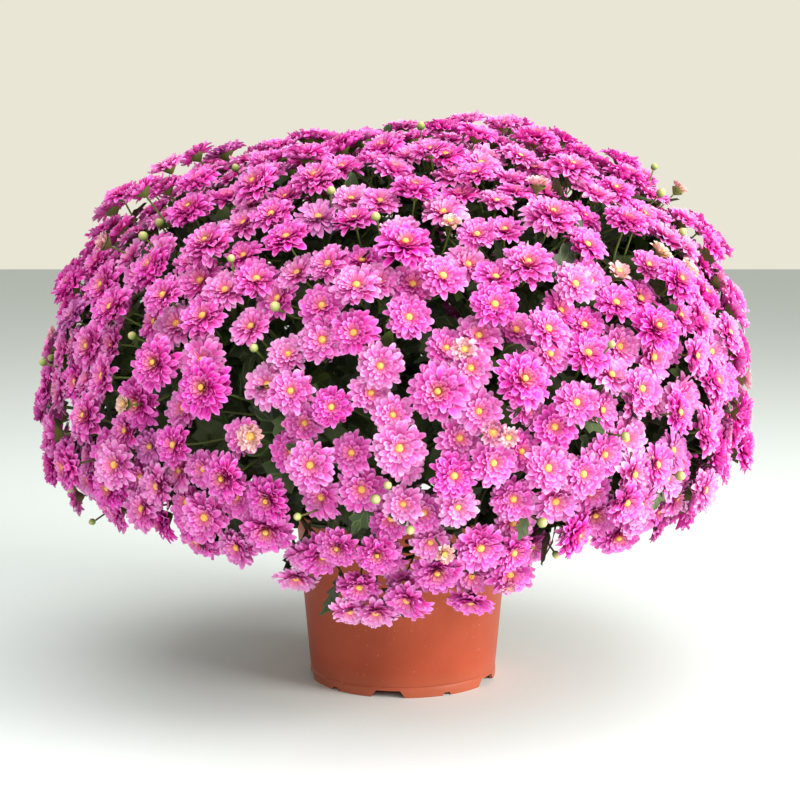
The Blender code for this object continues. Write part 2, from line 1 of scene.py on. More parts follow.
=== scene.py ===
# %% [markdown]
# A garden chrysanthemum in full flower, in a moulded plastic grower's pot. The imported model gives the
# real sizes: a pot, its soil, five leafy stems and 46 sprays of flowers. Each of those plain solids is
# replaced here by a finer piece that stands in exactly the same place.

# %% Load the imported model
import math
import random
from collections import namedtuple

import bmesh
import bpy
from mathutils import Matrix, Vector


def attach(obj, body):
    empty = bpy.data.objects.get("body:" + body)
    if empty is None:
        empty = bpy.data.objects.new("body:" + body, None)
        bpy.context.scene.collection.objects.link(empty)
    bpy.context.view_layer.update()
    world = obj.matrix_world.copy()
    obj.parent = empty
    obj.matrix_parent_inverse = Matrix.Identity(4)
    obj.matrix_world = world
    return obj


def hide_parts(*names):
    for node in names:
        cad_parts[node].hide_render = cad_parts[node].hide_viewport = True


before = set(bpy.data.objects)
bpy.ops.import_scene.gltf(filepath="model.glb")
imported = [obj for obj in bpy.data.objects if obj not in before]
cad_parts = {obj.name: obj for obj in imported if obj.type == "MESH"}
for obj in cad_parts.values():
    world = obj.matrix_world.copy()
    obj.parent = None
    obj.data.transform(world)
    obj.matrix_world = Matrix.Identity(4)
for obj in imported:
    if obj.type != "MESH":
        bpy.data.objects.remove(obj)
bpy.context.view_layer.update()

MM = 0.001

# %% [markdown]
# The picture comes first, because every later choice is judged in it. The photograph was taken from a
# little above the flowers with a long lens, so the camera stands 1.4 m away, looks 7 degrees down and
# sees 27 degrees. Colours are shown plainly, without a film look, so that the pinks stay as they are.

# %% Camera and colour
CAMERA_PLACE = Vector((-2.6 * MM, -1422 * MM, 414 * MM))
CAMERA_PITCH = math.radians(7)
CAMERA_VIEW = math.radians(27)

bpy.ops.object.select_all(action="DESELECT")
bpy.ops.object.camera_add(location=CAMERA_PLACE, rotation=(math.pi / 2 - CAMERA_PITCH, 0, 0))
camera = bpy.context.object
camera.data.angle = CAMERA_VIEW
bpy.context.scene.camera = camera
bpy.context.scene.view_settings.view_transform = "Standard"
print("camera sees", round(math.degrees(camera.data.angle), 1), "degrees")

# %% [markdown]
# A shader's colours are linear, while a colour read from a picture is sRGB. One function turns a hex
# code into linear values. A second one adds a node, sets it up and links it, which keeps each material
# as short as a list of what it is made of.

# %% Colours and nodes


def srgb(code):
    """The linear colour for a hex code such as #c8a090."""
    values = [int(code[i : i + 2], 16) / 255 for i in (1, 3, 5)]
    return tuple(v / 12.92 if v <= 0.04045 else ((v + 0.055) / 1.055) ** 2.4 for v in values) + (1.0,)


def add(tree, kind, inputs=None, **settings):
    """Adds a node. An input is given a value, or the output socket that it is linked from."""
    node = tree.nodes.new(kind)
    for name, value in settings.items():
        setattr(node, name, value)
    for name, value in (inputs or {}).items():
        if isinstance(value, bpy.types.NodeSocket):
            tree.links.new(value, node.inputs[name])
        else:
            node.inputs[name].default_value = value
    return node


def new_material(name):
    """An empty material with a Principled shader, and the two things needed to fill it."""
    made = bpy.data.materials.new(name)
    made.use_nodes = True
    return made, made.node_tree, made.node_tree.nodes["Principled BSDF"]


def ramp(tree, source, stops):
    """A colour ramp from (position, hex code) stops."""
    node = add(tree, "ShaderNodeValToRGB", {"Fac": source})
    elements = node.color_ramp.elements
    while len(elements) < len(stops):
        elements.new(0.5)
    for element, (position, code) in zip(elements, stops):
        element.position = position
        element.color = srgb(code)
    return node.outputs["Color"]


print("white is", srgb("#ffffff"))

# %% [markdown]
# A large soft light at the right, weaker ones in front and overhead, and a dim surround: that is what
# rounds the pot from light at its right to dark at its left. What the camera sees behind the plant is
# a plain cream backdrop, and the floor is plain and pale.

# %% Light and floor
AIM = Vector((0, 0, 250 * MM))


def soft_light(name, place, size, watts, code):
    """A square lamp that faces the plant."""
    bpy.ops.object.light_add(type="AREA", location=place)
    lamp = bpy.context.object
    lamp.name = name
    lamp.data.size = size
    lamp.data.energy = watts
    lamp.data.color = srgb(code)[:3]
    lamp.rotation_euler = (AIM - Vector(place)).to_track_quat("-Z", "Y").to_euler()
    return lamp


soft_light("key_light", (2.0, -1.0, 1.0), 1.2, 75, "#fffaf2")
soft_light("fill_light", (0.3, -2.4, 1.8), 1.8, 22, "#fbf8ff")
soft_light("top_light", (0.0, -0.5, 2.6), 3.0, 47, "#ffffff")
world = bpy.data.worlds.new("studio")
world.use_nodes = True
surround = world.node_tree
light = surround.nodes["Background"]
light.inputs["Color"].default_value = srgb("#f3f1e6")
light.inputs["Strength"].default_value = 0.56
wall = add(surround, "ShaderNodeBackground", {"Color": srgb("#e9e6d6"), "Strength": 1.0})
seen = add(surround, "ShaderNodeLightPath").outputs["Is Camera Ray"]
both = add(surround, "ShaderNodeMixShader", {0: seen, 1: light.outputs[0], 2: wall.outputs[0]})
surround.links.new(both.outputs[0], surround.nodes["World Output"].inputs["Surface"])
bpy.context.scene.world = world

bpy.ops.object.select_all(action="DESELECT")
bpy.ops.mesh.primitive_plane_add(size=16)
floor = bpy.context.object
floor.name = "studio_floor"
pale, tree, shader = new_material("pale_paper")
shader.inputs["Base Color"].default_value = srgb("#ecf6f5")
shader.inputs["Roughness"].default_value = 0.6
floor.data.materials.append(pale)
print("three lamps and a floor")

# %% [markdown]
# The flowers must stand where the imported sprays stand, so the rule that placed those is repeated here
# with the same seed. Places are spread over a dome on a golden-angle spiral, like seeds in a flower
# head: each next place is turned by the golden angle, and each gets an equal area of the dome.

# %% The dome of flowers
DOME_RADIUS = 298 * MM
DOME_MIDDLE = 238 * MM
DOME_RISE = 236 * MM
DOME_DROP = 172 * MM
DOME_SHOULDER = 0.9
SKIRT_TILT = math.radians(130)
CROWN_SHIFT = Vector((30 * MM, 0, 0))
TILT_STEPS = 240
GOLDEN_ANGLE = math.pi * (3 - math.sqrt(5))


def polar(radius, azimuth, height):
    return Vector((radius * math.cos(azimuth), radius * math.sin(azimuth), height))


def dome_point(tilt, azimuth):
    """The place on the dome, and its outward normal."""
    rise = DOME_RISE if tilt < math.pi / 2 else DOME_DROP
    power = DOME_SHOULDER if tilt < math.pi / 2 else 1.0
    out, up = math.sin(tilt), math.cos(tilt)
    height = math.copysign(abs(up) ** power, up)
    place = polar(DOME_RADIUS * out**power, azimuth, DOME_MIDDLE + rise * height)
    steep = 2 - power
    slope = math.copysign(abs(up) ** steep, up)
    normal = polar(out**steep / DOME_RADIUS, azimuth, slope / rise).normalized()
    return place + CROWN_SHIFT * max(0.0, up) ** 2, normal


def equal_area_tilts(count):
    """The tilts that give each of count places the same area of the dome."""
    areas, tilts = [0.0], [0.0]
    for step in range(TILT_STEPS):
        tilt = SKIRT_TILT * (step + 0.5) / TILT_STEPS
        rise = DOME_RISE if tilt < math.pi / 2 else DOME_DROP
        slope = math.hypot(DOME_RADIUS * math.cos(tilt), rise * math.sin(tilt))
        areas.append(areas[-1] + slope * DOME_RADIUS * math.sin(tilt))
        tilts.append(SKIRT_TILT * (step + 1) / TILT_STEPS)
    found, step = [], 0
    for i in range(count):
        wanted = areas[-1] * (i + 0.5) / count
        while areas[step + 1] < wanted:
            step += 1
        share = (wanted - areas[step]) / (areas[step + 1] - areas[step])
        found.append(tilts[step] + share * (tilts[step + 1] - tilts[step]))
    return found


def dome_sites(count, draw, jitter):
    """Places spread over the dome, each moved a little at random."""
    sites = []
    for i, tilt in enumerate(equal_area_tilts(count)):
        azimuth = i * GOLDEN_ANGLE
        across = max(0.15, math.sin(tilt)) * DOME_RADIUS
        azimuth += draw.uniform(-jitter, jitter) / across
        tilt += draw.uniform(-jitter, jitter) / DOME_RADIUS
        sites.append(dome_point(min(max(tilt, 0.0), SKIRT_TILT), azimuth))
    return sites


print("top of the dome:", [round(v / MM) for v in dome_point(0, 0)[0]])

# %% [markdown]
# A spray is the tuft at the end of one branch. Its stalks start together at a hub below the flowers.
# The blooms stand at three depths, so that each differs from those beside it, and they are drawn in
# until none cuts another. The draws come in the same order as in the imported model.

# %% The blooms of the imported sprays
PLANTS = 5
SPRAYS = 46
BLOOMS = 400
SEED = 8
HUB_DEPTH = 68 * MM
LEVEL_STEP = 8 * MM
LEVELS = 3
LEVEL_REACH = 45 * MM
SPRAY_MOUND = 9 * MM
SPRAY_SPREAD = 75 * MM
SIDE_GAP = 1.2 * MM
OVERLAP = 4.5 * MM
FLAT_LEAST = 14 * MM
JITTER = 9 * MM

Kind = namedtuple("Kind", "name share least most")
KINDS = (
    Kind("double", 0.32, 20.0 * MM, 23.5 * MM),
    Kind("semi_double", 0.48, 18.0 * MM, 21.5 * MM),
    Kind("opening", 0.12, 10.5 * MM, 13.0 * MM),
    Kind("bud", 0.08, 4.5 * MM, 5.5 * MM),
)
Bloom = namedtuple("Bloom", "kind centre facing radius turn spray")
Spray = namedtuple("Spray", "centre outward hub plant")


def kind_of(number):
    for kind in KINDS:
        number -= kind.share
        if number < 0:
            return kind
    return KINDS[0]


def flower_levels(sites):
    """How deep each bloom stands, so that it differs from those beside it."""
    levels = []
    for i, (place, _) in enumerate(sites):
        near = {levels[j] for j in range(i) if (sites[j][0] - place).length < LEVEL_REACH}
        free = [level for level in range(LEVELS) if level not in near]
        levels.append(free[0] if free else i % LEVELS)
    return levels


def fitted_radii(places, levels, radii):
    """The radii, drawn in until each pair of blooms is clear."""
    for i in range(len(places)):
        for j in range(i):
            room = (places[i] - places[j]).length
            over = levels[i] != levels[j] and min(radii[i], radii[j]) > FLAT_LEAST
            room += OVERLAP if over else -SIDE_GAP
            over = radii[i] + radii[j] - room
            if over > 0:
                share = radii[i] / (radii[i] + radii[j])
                radii[i] -= over * share
                radii[j] -= over * (1 - share)
    return radii


def facing_of(normal, place, hub, draw):
    """The way a bloom looks: outwards, along its stalk and up to the light, with some sway."""
    stalk = (place - hub).normalized()
    level_out = Vector((normal.x, normal.y, max(normal.z, 0.35 * normal.z)))
    sway = Vector([draw.uniform(-0.24, 0.24) for _ in range(3)])
    return (level_out + 0.45 * stalk + sway + Vector((0, 0, 0.16))).normalized()


draw = random.Random(SEED)
spray_sites = dome_sites(SPRAYS, draw, 0.0)
bloom_sites = dome_sites(BLOOMS, draw, JITTER)
levels = flower_levels(bloom_sites)


def nearest_spray(place):
    return min(range(SPRAYS), key=lambda s: (spray_sites[s][0] - place).length)


nearest = [nearest_spray(place) for place, _ in bloom_sites]
sprays = []
for s, (centre, _) in enumerate(spray_sites):
    members = [bloom_sites[i] for i in range(BLOOMS) if nearest[i] == s]
    middle = sum((place for place, _ in members), Vector()) / len(members)
    outward = sum((normal for _, normal in members), Vector()).normalized()
    hub = middle - outward * HUB_DEPTH
    plant = int((math.atan2(hub.y, hub.x) % math.tau) / (math.tau / PLANTS))
    sprays.append(Spray(centre, outward, hub, plant))

kinds, places, radii = [], [], []
for i, (place, normal) in enumerate(bloom_sites):
    kinds.append(kind_of(draw.random()))
    off_centre = (place - sprays[nearest[i]].centre).length / SPRAY_SPREAD
    height = SPRAY_MOUND * (0.5 - off_centre**2) - LEVEL_STEP * levels[i]
    places.append(place + normal * height)
    radii.append(draw.uniform(kinds[i].least, kinds[i].most))
radii = fitted_radii(places, levels, radii)
blooms = []
for i, (_, normal) in enumerate(bloom_sites):
    facing = facing_of(normal, places[i], sprays[nearest[i]].hub, draw)
    turn = draw.uniform(0, math.tau)
    blooms.append(Bloom(kinds[i].name, places[i], facing, radii[i], turn, nearest[i]))
print(len(blooms), "blooms in", len(sprays), "sprays")

# %% [markdown]
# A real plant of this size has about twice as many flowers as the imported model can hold. The rest
# stand here: younger, smaller blooms that fill the gaps between the others from a little below. Of
# many places on the same dome, those with the most room are taken first.

# %% The smaller blooms between
FILLERS = 416
FILLER_TRIES = 1800
FILLER_SEED = 21
FILLER_DEPTH = (7 * MM, 21 * MM)
FILLER_RADIUS = (15.5 * MM, 20.5 * MM)
FILLER_APART = 22 * MM
CROWDED_HEIGHT = 150 * MM
LOOSE_HEIGHT = 178 * MM
APRON_AZIMUTHS = range(-127, -68, 8)  # a few hang down over the front of the pot
APRON_TILT = (128, 137)
# Flowers on longer stalks: azimuth and tilt on the dome in degrees, how far out, kind and radius in mm
STRAYS = (
    (176, 52, 12, "young", 19), (188, 48, 12, "young", 18), (168, 46, 10, "young", 19),
    (198, 40, 14, "young", 18), (160, 37, 10, "young", 18), (207, 47, 14, "young", 19),
    (180, 35, 12, "young", 17), (4, 60, 14, "young", 17), (-8, 38, 10, "bud", 4.2),
    (10, 47, 18, "opening", 10), (-78, 20, 6, "bud", 4.2), (60, 20, 6, "young", 16),
    (185, 118, 10, "young", 17), (200, 122, 12, "bud", 4), (172, 112, 12, "bud", 4.2),
    (-62, 126, 8, "bud", 4.2), (-55, 127, 10, "bud", 4), (-70, 130, 8, "opening", 9),
    (-118, 60, 8, "bud", 4.2), (-60, 75, 8, "bud", 4), (-92, 96, 8, "bud", 4.2), (-84, 112, 6, "opening", 9),
    (-104, 104, 6, "bud", 4), (-76, 88, 6, "opening", 9), (-130, 85, 6, "opening", 9),
)

draw = random.Random(FILLER_SEED)


def room_at(place):
    """How far the nearest bloom's edge is."""
    return min((bloom.centre - place).length - 0.8 * bloom.radius for bloom in blooms[:BLOOMS])


def left_bare(place):
    """Whether a place is low at one side, where the stalks show between the flowers."""
    height = LOOSE_HEIGHT if place.x < 0 else CROWDED_HEIGHT
    return place.z < height and abs(place.x) > 0.45 * place.xy.length


tries = []
for place, normal in dome_sites(FILLER_TRIES, draw, 6 * MM):
    place = place - normal * draw.uniform(*FILLER_DEPTH)
    if not left_bare(place):
        tries.append((room_at(place), place, normal))
tries.sort(key=lambda one: -one[0])
fillers = []
for room, place, normal in tries:
    if len(fillers) == FILLERS:
        break
    if all((place - other).length > FILLER_APART for other, _ in fillers):
        fillers.append((place, normal))
for azimuth in APRON_AZIMUTHS:
    tilt = math.radians(draw.uniform(*APRON_TILT))
    fillers.append(dome_point(tilt, math.radians(azimuth + draw.uniform(-3, 3))))


def add_young(kind, radius, place, normal):
    s = nearest_spray(place)
    facing = facing_of(normal, place, sprays[s].hub, draw)
    blooms.append(Bloom(kind, place, facing, radius, draw.uniform(0, math.tau), s))


for place, normal in fillers:
    add_young("young", draw.uniform(*FILLER_RADIUS), place, normal)
for azimuth, tilt, out, kind, radius in STRAYS:
    place, normal = dome_point(math.radians(tilt), math.radians(azimuth))
    add_young(kind, radius * MM, place + normal * out * MM, normal)
print(len(fillers), "smaller blooms, the last with", round(room / MM, 1), "mm of room")

# %% [markdown]
# No plant is a perfect dome. The lowest flowers in front sag over the pot, while those at its two
# sides are held up by their branches. The head reaches out a little further at its left, and has a
# full shoulder there. Each bloom's place is moved for that, most of all the lowest at the sides.

# %% The lean of the head
SIDE_LIFT = 78 * MM
FRONT_DROP = 26 * MM
SIDE_FROM, SIDE_FULL = 0.2, 0.55  # how far to the side, from the front at 0 to the sides at 1
FAR_EASE = 0.6  # the part of the lift that is gone again at the very side
LEFT_REACH = 9 * MM
SHOULDER = 7 * MM
SHOULDER_HEIGHT = (410 * MM, 75 * MM)  # its middle, and how far it reaches up and down


def settled(bloom):
    """The bloom where the lean of the head brings it."""
    place = bloom.centre
    out = place.xy.normalized()
    low = max(0.0, (DOME_MIDDLE - place.z) / DOME_DROP)
    side = min(max((abs(out.x) - SIDE_FROM) / (SIDE_FULL - SIDE_FROM), 0.0), 1.0)
    far = max(0.0, (abs(out.x) - SIDE_FULL) / (1 - SIDE_FULL))
    lift = SIDE_LIFT * side * (1 - FAR_EASE * far)
    if place.y < 0:
        lift -= FRONT_DROP * (1 - side)
    shoulder = max(0.0, 1 - abs(place.z - SHOULDER_HEIGHT[0]) / SHOULDER_HEIGHT[1])
    shoulder *= SHOULDER * max(0.0, -out.x) ** 2
    shift = Vector((out.x * shoulder, out.y * shoulder, 0.5 * shoulder + lift * low * low))
    shift.x -= LEFT_REACH * abs(place.x) / DOME_RADIUS
    return bloom._replace(centre=place + shift)


blooms = [settled(bloom) for bloom in blooms]
print("lowest bloom at", round(min(bloom.centre.z for bloom in blooms) / MM), "mm")

# %% [markdown]
# A petal of a chrysanthemum is a ray floret: a narrow strap that is widest past its middle, folded a
# little along its length, with a rounded tip. It starts as a grid. Each row is picked by its place,
# scaled to its width and lifted, then both edges are raised and the middle of the tip is pulled out.
# It has 16 triangles, because the plant carries some fifty thousand of them. Some arch down and some
# curl up at the tip. The short petals round the middle of a bloom need only half as many triangles.

# %% One petal
NEAR = 0.01  # of the petal's length, to tell its rows apart
ARCHED_ROWS = ((0.0, 0.36, 0.0), (0.25, 0.70, 0.06), (0.5, 0.92, 0.085), (0.80, 1.0, 0.05), (0.96, 0.62, -0.03))
CURLED_ROWS = ((0.0, 0.36, 0.0), (0.27, 0.70, 0.01), (0.55, 0.92, 0.02), (0.80, 1.0, 0.07), (0.93, 0.66, 0.17))
SHORT_ROWS = ((0.0, 0.45, 0.0), (0.55, 1.0, 0.05), (0.92, 0.72, 0.10))
PETAL_FOLD = 0.07
PETAL_TIP = 0.05


def pick(obj, test):
    """In edit mode, selects the vertices whose places pass the test, and nothing else."""
    shape = bmesh.from_edit_mesh(obj.data)
    for vert in shape.verts:
        vert.select = test(vert.co)
    shape.select_flush_mode()
    bmesh.update_edit_mesh(obj.data)


def shape_blade(name, rows, across, fold, tip):
    """A blade along X from (place along, width, lift) rows, folded up at its edges."""
    bpy.ops.object.select_all(action="DESELECT")
    bpy.ops.mesh.primitive_grid_add(
        x_subdivisions=len(rows) - 1, y_subdivisions=across, size=1, location=(0.5, 0, 0)
    )
    blade = bpy.context.object
    blade.name = name
    bpy.ops.object.transform_apply(location=True)
    bpy.ops.object.mode_set(mode="EDIT")
    step = 1 / (len(rows) - 1)
    for i, (along, width, lift) in enumerate(rows):
        pick(blade, lambda co: abs(co.x - i * step) < NEAR)
        bpy.ops.transform.resize(value=(1, width, 1), center_override=(i * step, 0, 0))
        bpy.ops.transform.translate(value=(0, 0, lift))
    pick(blade, lambda co: abs(co.y) > NEAR)
    bpy.ops.transform.translate(value=(0, 0, fold))
    pick(blade, lambda co: co.x > 1 - NEAR and abs(co.y) < NEAR)
    bpy.ops.transform.translate(value=(tip, 0, 0))
    for i, (along, width, lift) in reversed(list(enumerate(rows))):
        pick(blade, lambda co: abs(co.x - i * step) < step / 2 and abs(along - i * step) > 0)
        bpy.ops.transform.translate(value=(along - i * step, 0, 0))
    bpy.ops.object.mode_set(mode="OBJECT")
    bpy.ops.object.shade_smooth()
    return blade


arched_petal = shape_blade("arched_petal", ARCHED_ROWS, 2, PETAL_FOLD, PETAL_TIP)
curled_petal = shape_blade("curled_petal", CURLED_ROWS, 2, PETAL_FOLD, PETAL_TIP)
short_petal = shape_blade("short_petal", SHORT_ROWS, 2, PETAL_FOLD, PETAL_TIP)
for blade in (arched_petal, curled_petal, short_petal):
    print(blade.name, "has", len(blade.data.polygons) * 2, "triangles")

# %% [markdown]
# The eye of a bloom is a low button of tiny yellow tube florets. A sphere is cut in half, pressed flat
# and roughened by its material.

# %% The eye
EYE_HEIGHT = 0.62

bpy.ops.object.select_all(action="DESELECT")
bpy.ops.mesh.primitive_uv_sphere_add(segments=8, ring_count=4, radius=1)
eye = bpy.context.object
eye.name = "eye"
bpy.ops.object.mode_set(mode="EDIT")
bpy.ops.mesh.select_all(action="SELECT")
bpy.ops.mesh.bisect(plane_co=(0, 0, -0.01), plane_no=(0, 0, 1), clear_inner=True)
bpy.ops.mesh.select_all(action="SELECT")
bpy.ops.transform.resize(value=(1, 1, EYE_HEIGHT), center_override=(0, 0, 0))
bpy.ops.object.mode_set(mode="OBJECT")
bpy.ops.object.shade_smooth()
print("an eye has", len(eye.data.polygons), "faces")

# %% [markdown]
# The petals' colour is the look of the whole plant: a vivid magenta pink where a petal is rooted and
# paler at its tip and edges, and peach next to the eye. The dark magenta at the roots is partly the
# petal's own colour and partly painted shade, for the shade that falls under the inner rings. The
# petal's own UV map runs from root to tip and from edge to edge, so ramps along it paint that. Two
# attributes tell blooms and petals apart: "bloom" holds how pale, how warm and how faded a bloom is,
# and "petal" holds a random number and how far out in its bloom the petal reaches.

# %% Petal material: matt living tissue
VEIN_SCALE = 1.6  # five veins across a petal 5 mm wide, one a millimetre

petals, tree, shader = new_material("ray_florets")
uv = add(tree, "ShaderNodeUVMap", uv_map="UVMap")
parts = add(tree, "ShaderNodeSeparateXYZ", {"Vector": uv.outputs["UV"]})
along = parts.outputs["X"]
bloom_of = add(tree, "ShaderNodeAttribute", attribute_name="bloom")
bloom_of = add(tree, "ShaderNodeSeparateColor", {"Color": bloom_of.outputs["Color"]})
petal_of = add(tree, "ShaderNodeAttribute", attribute_name="petal")
petal_of = add(tree, "ShaderNodeSeparateColor", {"Color": petal_of.outputs["Color"]})
# The dark magenta roots of this ramp are partly the petal's own colour and partly painted shade under the inner
# petals.
deep = ramp(tree, along, ((0.0, "#b40080"), (0.35, "#e00aa6"), (0.75, "#f634c8"), (1.0, "#ff8ae4")))
pale = ramp(tree, along, ((0.0, "#ffbc88"), (0.25, "#fb62c2"), (0.7, "#ff8ee0"), (1.0, "#ffccf0")))
warm = ramp(tree, along, ((0.0, "#fbe24c"), (0.5, "#fff0a0"), (1.0, "#ffdcd0")))
faded = ramp(tree, along, ((0.0, "#c98cb8"), (1.0, "#c983c4")))
side = add(tree, "ShaderNodeMath", {0: parts.outputs["Y"], 1: 0.5}, operation="SUBTRACT").outputs[0]
side = add(tree, "ShaderNodeMath", {0: side}, operation="ABSOLUTE").outputs[0]
edge = add(tree, "ShaderNodeMapRange", {"Value": side, "From Min": 0.18, "From Max": 0.5, "To Max": 0.35})
inner = add(
    tree, "ShaderNodeMapRange",
    {"Value": petal_of.outputs["Green"], "From Min": 0.52, "From Max": 0.26, "To Max": 0.6},
)


def mix_colours(under, over, share):
    """One colour laid over another by a share."""
    node = tree.nodes.new("ShaderNodeMix")
    node.data_type = "RGBA"
    tree.links.new(share, node.inputs[0])
    tree.links.new(under, node.inputs[6])
    tree.links.new(over, node.inputs[7])
    return node.outputs[2]


colour = mix_colours(deep, pale, bloom_of.outputs["Red"])
colour = mix_colours(colour, ramp(tree, along, ((0.0, "#f03cc0"), (0.8, "#ffb4ec"))), edge.outputs["Result"])
colour = mix_colours(colour, ramp(tree, along, ((0.0, "#fbb04c"), (0.8, "#ffb0a4"))), inner.outputs["Result"])
colour = mix_colours(colour, warm, bloom_of.outputs["Green"])
colour = mix_colours(colour, faded, bloom_of.outputs["Blue"])
value = add(tree, "ShaderNodeMapRange", {"Value": petal_of.outputs["Red"], "To Min": 0.84, "To Max": 1.15})
colour = add(tree, "ShaderNodeHueSaturation", {"Color": colour, "Value": value.outputs["Result"]})
veins = add(
    tree, "ShaderNodeTexWave", {"Vector": uv.outputs["UV"], "Scale": VEIN_SCALE},
    bands_direction="Y",
)
bump = add(tree, "ShaderNodeBump", {"Height": veins.outputs["Fac"], "Strength": 0.5, "Distance": 0.3 * MM})
tree.links.new(colour.outputs["Color"], shader.inputs["Base Color"])
tree.links.new(bump.outputs["Normal"], shader.inputs["Normal"])
shader.inputs["Roughness"].default_value = 0.6
shader.inputs["Specular IOR Level"].default_value = 0.06
for blade in (arched_petal, curled_petal, short_petal):
    blade.data.materials.append(petals)
print("petal material has", len(tree.nodes), "nodes")

# %% [markdown]
# The florets of the eye are a quarter of a millimetre wide. They are drawn about twice as wide, or the
# picture would not show them, as cells that are orange between and yellow on top.

# %% Eye material
FLORET = 0.9 * MM

florets, tree, shader = new_material("disc_florets")
place = add(tree, "ShaderNodeTexCoord").outputs["Object"]
cells = add(tree, "ShaderNodeTexVoronoi", {"Vector": place, "Scale": 1 / FLORET})
colour = ramp(tree, cells.outputs["Distance"], ((0.0, "#fff2a8"), (0.45, "#fdd566"), (0.8, "#f2ae50")))
bump = add(tree, "ShaderNodeBump", {"Height": cells.outputs["Distance"], "Strength": 0.6, "Distance": 0.4 * MM})
bump.invert = True
tree.links.new(colour, shader.inputs["Base Color"])
tree.links.new(bump.outputs["Normal"], shader.inputs["Normal"])
shader.inputs["Roughness"].default_value = 0.7
eye.data.materials.append(florets)
print("floret cells of", FLORET / MM, "mm")

# %% [markdown]
# A bud is a small ball of petals that are still folded over each other. A sphere is drawn out to a
# blunt tip, and every other meridian is pulled in a little, which leaves ribs. Its UV map runs up from
# the root, so a ramp makes it green below and cream on top.

# %% A bud
BUD_RIBS = 7
BUD_LIFT = 0.15
RIB_DEPTH = 0.93

bpy.ops.object.select_all(action="DESELECT")
bpy.ops.mesh.primitive_uv_sphere_add(segments=2 * BUD_RIBS, ring_count=6, radius=1)
bud = bpy.context.object
bud.name = "bud"
bpy.ops.object.mode_set(mode="EDIT")
pick(bud, lambda co: round(math.atan2(co.y, co.x) / math.pi * BUD_RIBS) % 2 == 1)
bpy.ops.transform.resize(value=(RIB_DEPTH, RIB_DEPTH, 1), center_override=(0, 0, 0))
pick(bud, lambda co: co.z > 0.9)
bpy.ops.transform.translate(value=(0, 0, 0.15))
bpy.ops.mesh.select_all(action="SELECT")
bpy.ops.transform.translate(value=(0, 0, BUD_LIFT))
bpy.ops.object.mode_set(mode="OBJECT")
bpy.ops.object.transform_apply(location=True)
bpy.ops.object.shade_smooth()
bud_skin, tree, shader = new_material("bud_skin")
uv = add(tree, "ShaderNodeUVMap", uv_map="UVMap")
upwards = add(tree, "ShaderNodeSeparateXYZ", {"Vector": uv.outputs["UV"]}).outputs["Y"]
colour = ramp(tree, upwards, ((0.3, "#5f7c34"), (0.62, "#9cae5a"), (0.92, "#dcc892")))
tree.links.new(colour, shader.inputs["Base Color"])
shader.inputs["Roughness"].default_value = 0.6
bud.data.materials.append(bud_skin)
print("a bud has", sum(len(p.vertices) - 2 for p in bud.data.polygons), "triangles")

# %% [markdown]
# A bloom is rings of petals, one above another. The outermost petals lie flat, and each ring further
# in is shorter and steeper, so the whole is a low dome round the eye. One petal is copied, scaled to
# the ring's reach and width, tipped up and turned, and all the copies are joined. A few different
# blooms of each kind are enough, because every copy is turned and sized at random.

# %% Blooms, in several forms
Ring = namedtuple("Ring", "reach height count width root")
FORMS = {
    "double": (
        Ring(1.00, -0.05, 20, 0.27, -0.16), Ring(0.97, 0.06, 19, 0.27, -0.12), Ring(0.87, 0.17, 17, 0.26, -0.07),
        Ring(0.73, 0.26, 16, 0.24, -0.02), Ring(0.57, 0.32, 15, 0.21, 0.03), Ring(0.42, 0.36, 13, 0.17, 0.08),
        Ring(0.27, 0.36, 10, 0.13, 0.13),
    ),
    "semi_double": (
        Ring(1.00, -0.02, 20, 0.29, -0.14), Ring(0.92, 0.08, 18, 0.28, -0.09), Ring(0.77, 0.17, 16, 0.25, -0.04),
        Ring(0.58, 0.23, 15, 0.20, 0.01), Ring(0.40, 0.24, 13, 0.15, 0.04),
    ),
    "young": (
        Ring(1.00, 0.01, 19, 0.30, -0.12), Ring(0.86, 0.13, 17, 0.28, -0.06),
        Ring(0.59, 0.24, 15, 0.22, 0.01), Ring(0.39, 0.26, 11, 0.16, 0.05),
    ),
    "opening": (
        Ring(0.92, 0.34, 14, 0.34, -0.2), Ring(0.72, 0.44, 12, 0.31, -0.15),
        Ring(0.52, 0.44, 10, 0.26, -0.05), Ring(0.38, 0.38, 8, 0.20, 0.0),
    ),
}
EYES = {"double": (0.11, 0.26), "semi_double": (0.16, 0.09), "young": (0.16, 0.09), "opening": (0.3, 0.16)}
COPIES = {"double": 4, "semi_double": 4, "young": 4, "opening": 3}
PETAL_ROOT = 0.09
SHORT_REACH = 0.6
BUD_SIZE = 0.72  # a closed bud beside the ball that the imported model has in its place


def copy_of(master):
    """A copy of an object with its own mesh, in the scene."""
    piece = master.copy()
    piece.data = master.data.copy()
    bpy.context.scene.collection.objects.link(piece)
    return piece


def join(pieces, name):
    """The pieces as one object, at the origin."""
    bpy.ops.object.select_all(action="DESELECT")
    for piece in pieces:
        piece.select_set(True)
    bpy.context.view_layer.objects.active = pieces[0]
    if len(pieces) > 1:
        bpy.ops.object.join()
    joined = bpy.context.view_layer.objects.active
    joined.name = name
    joined.data.name = name
    return joined


def mark(piece, name, values):
    """Gives every vertex of a piece the same three numbers, as an attribute."""
    attribute = piece.data.attributes.new(name, "FLOAT_COLOR", "POINT")
    attribute.data.foreach_set("color", (*values, 1.0) * len(piece.data.vertices))


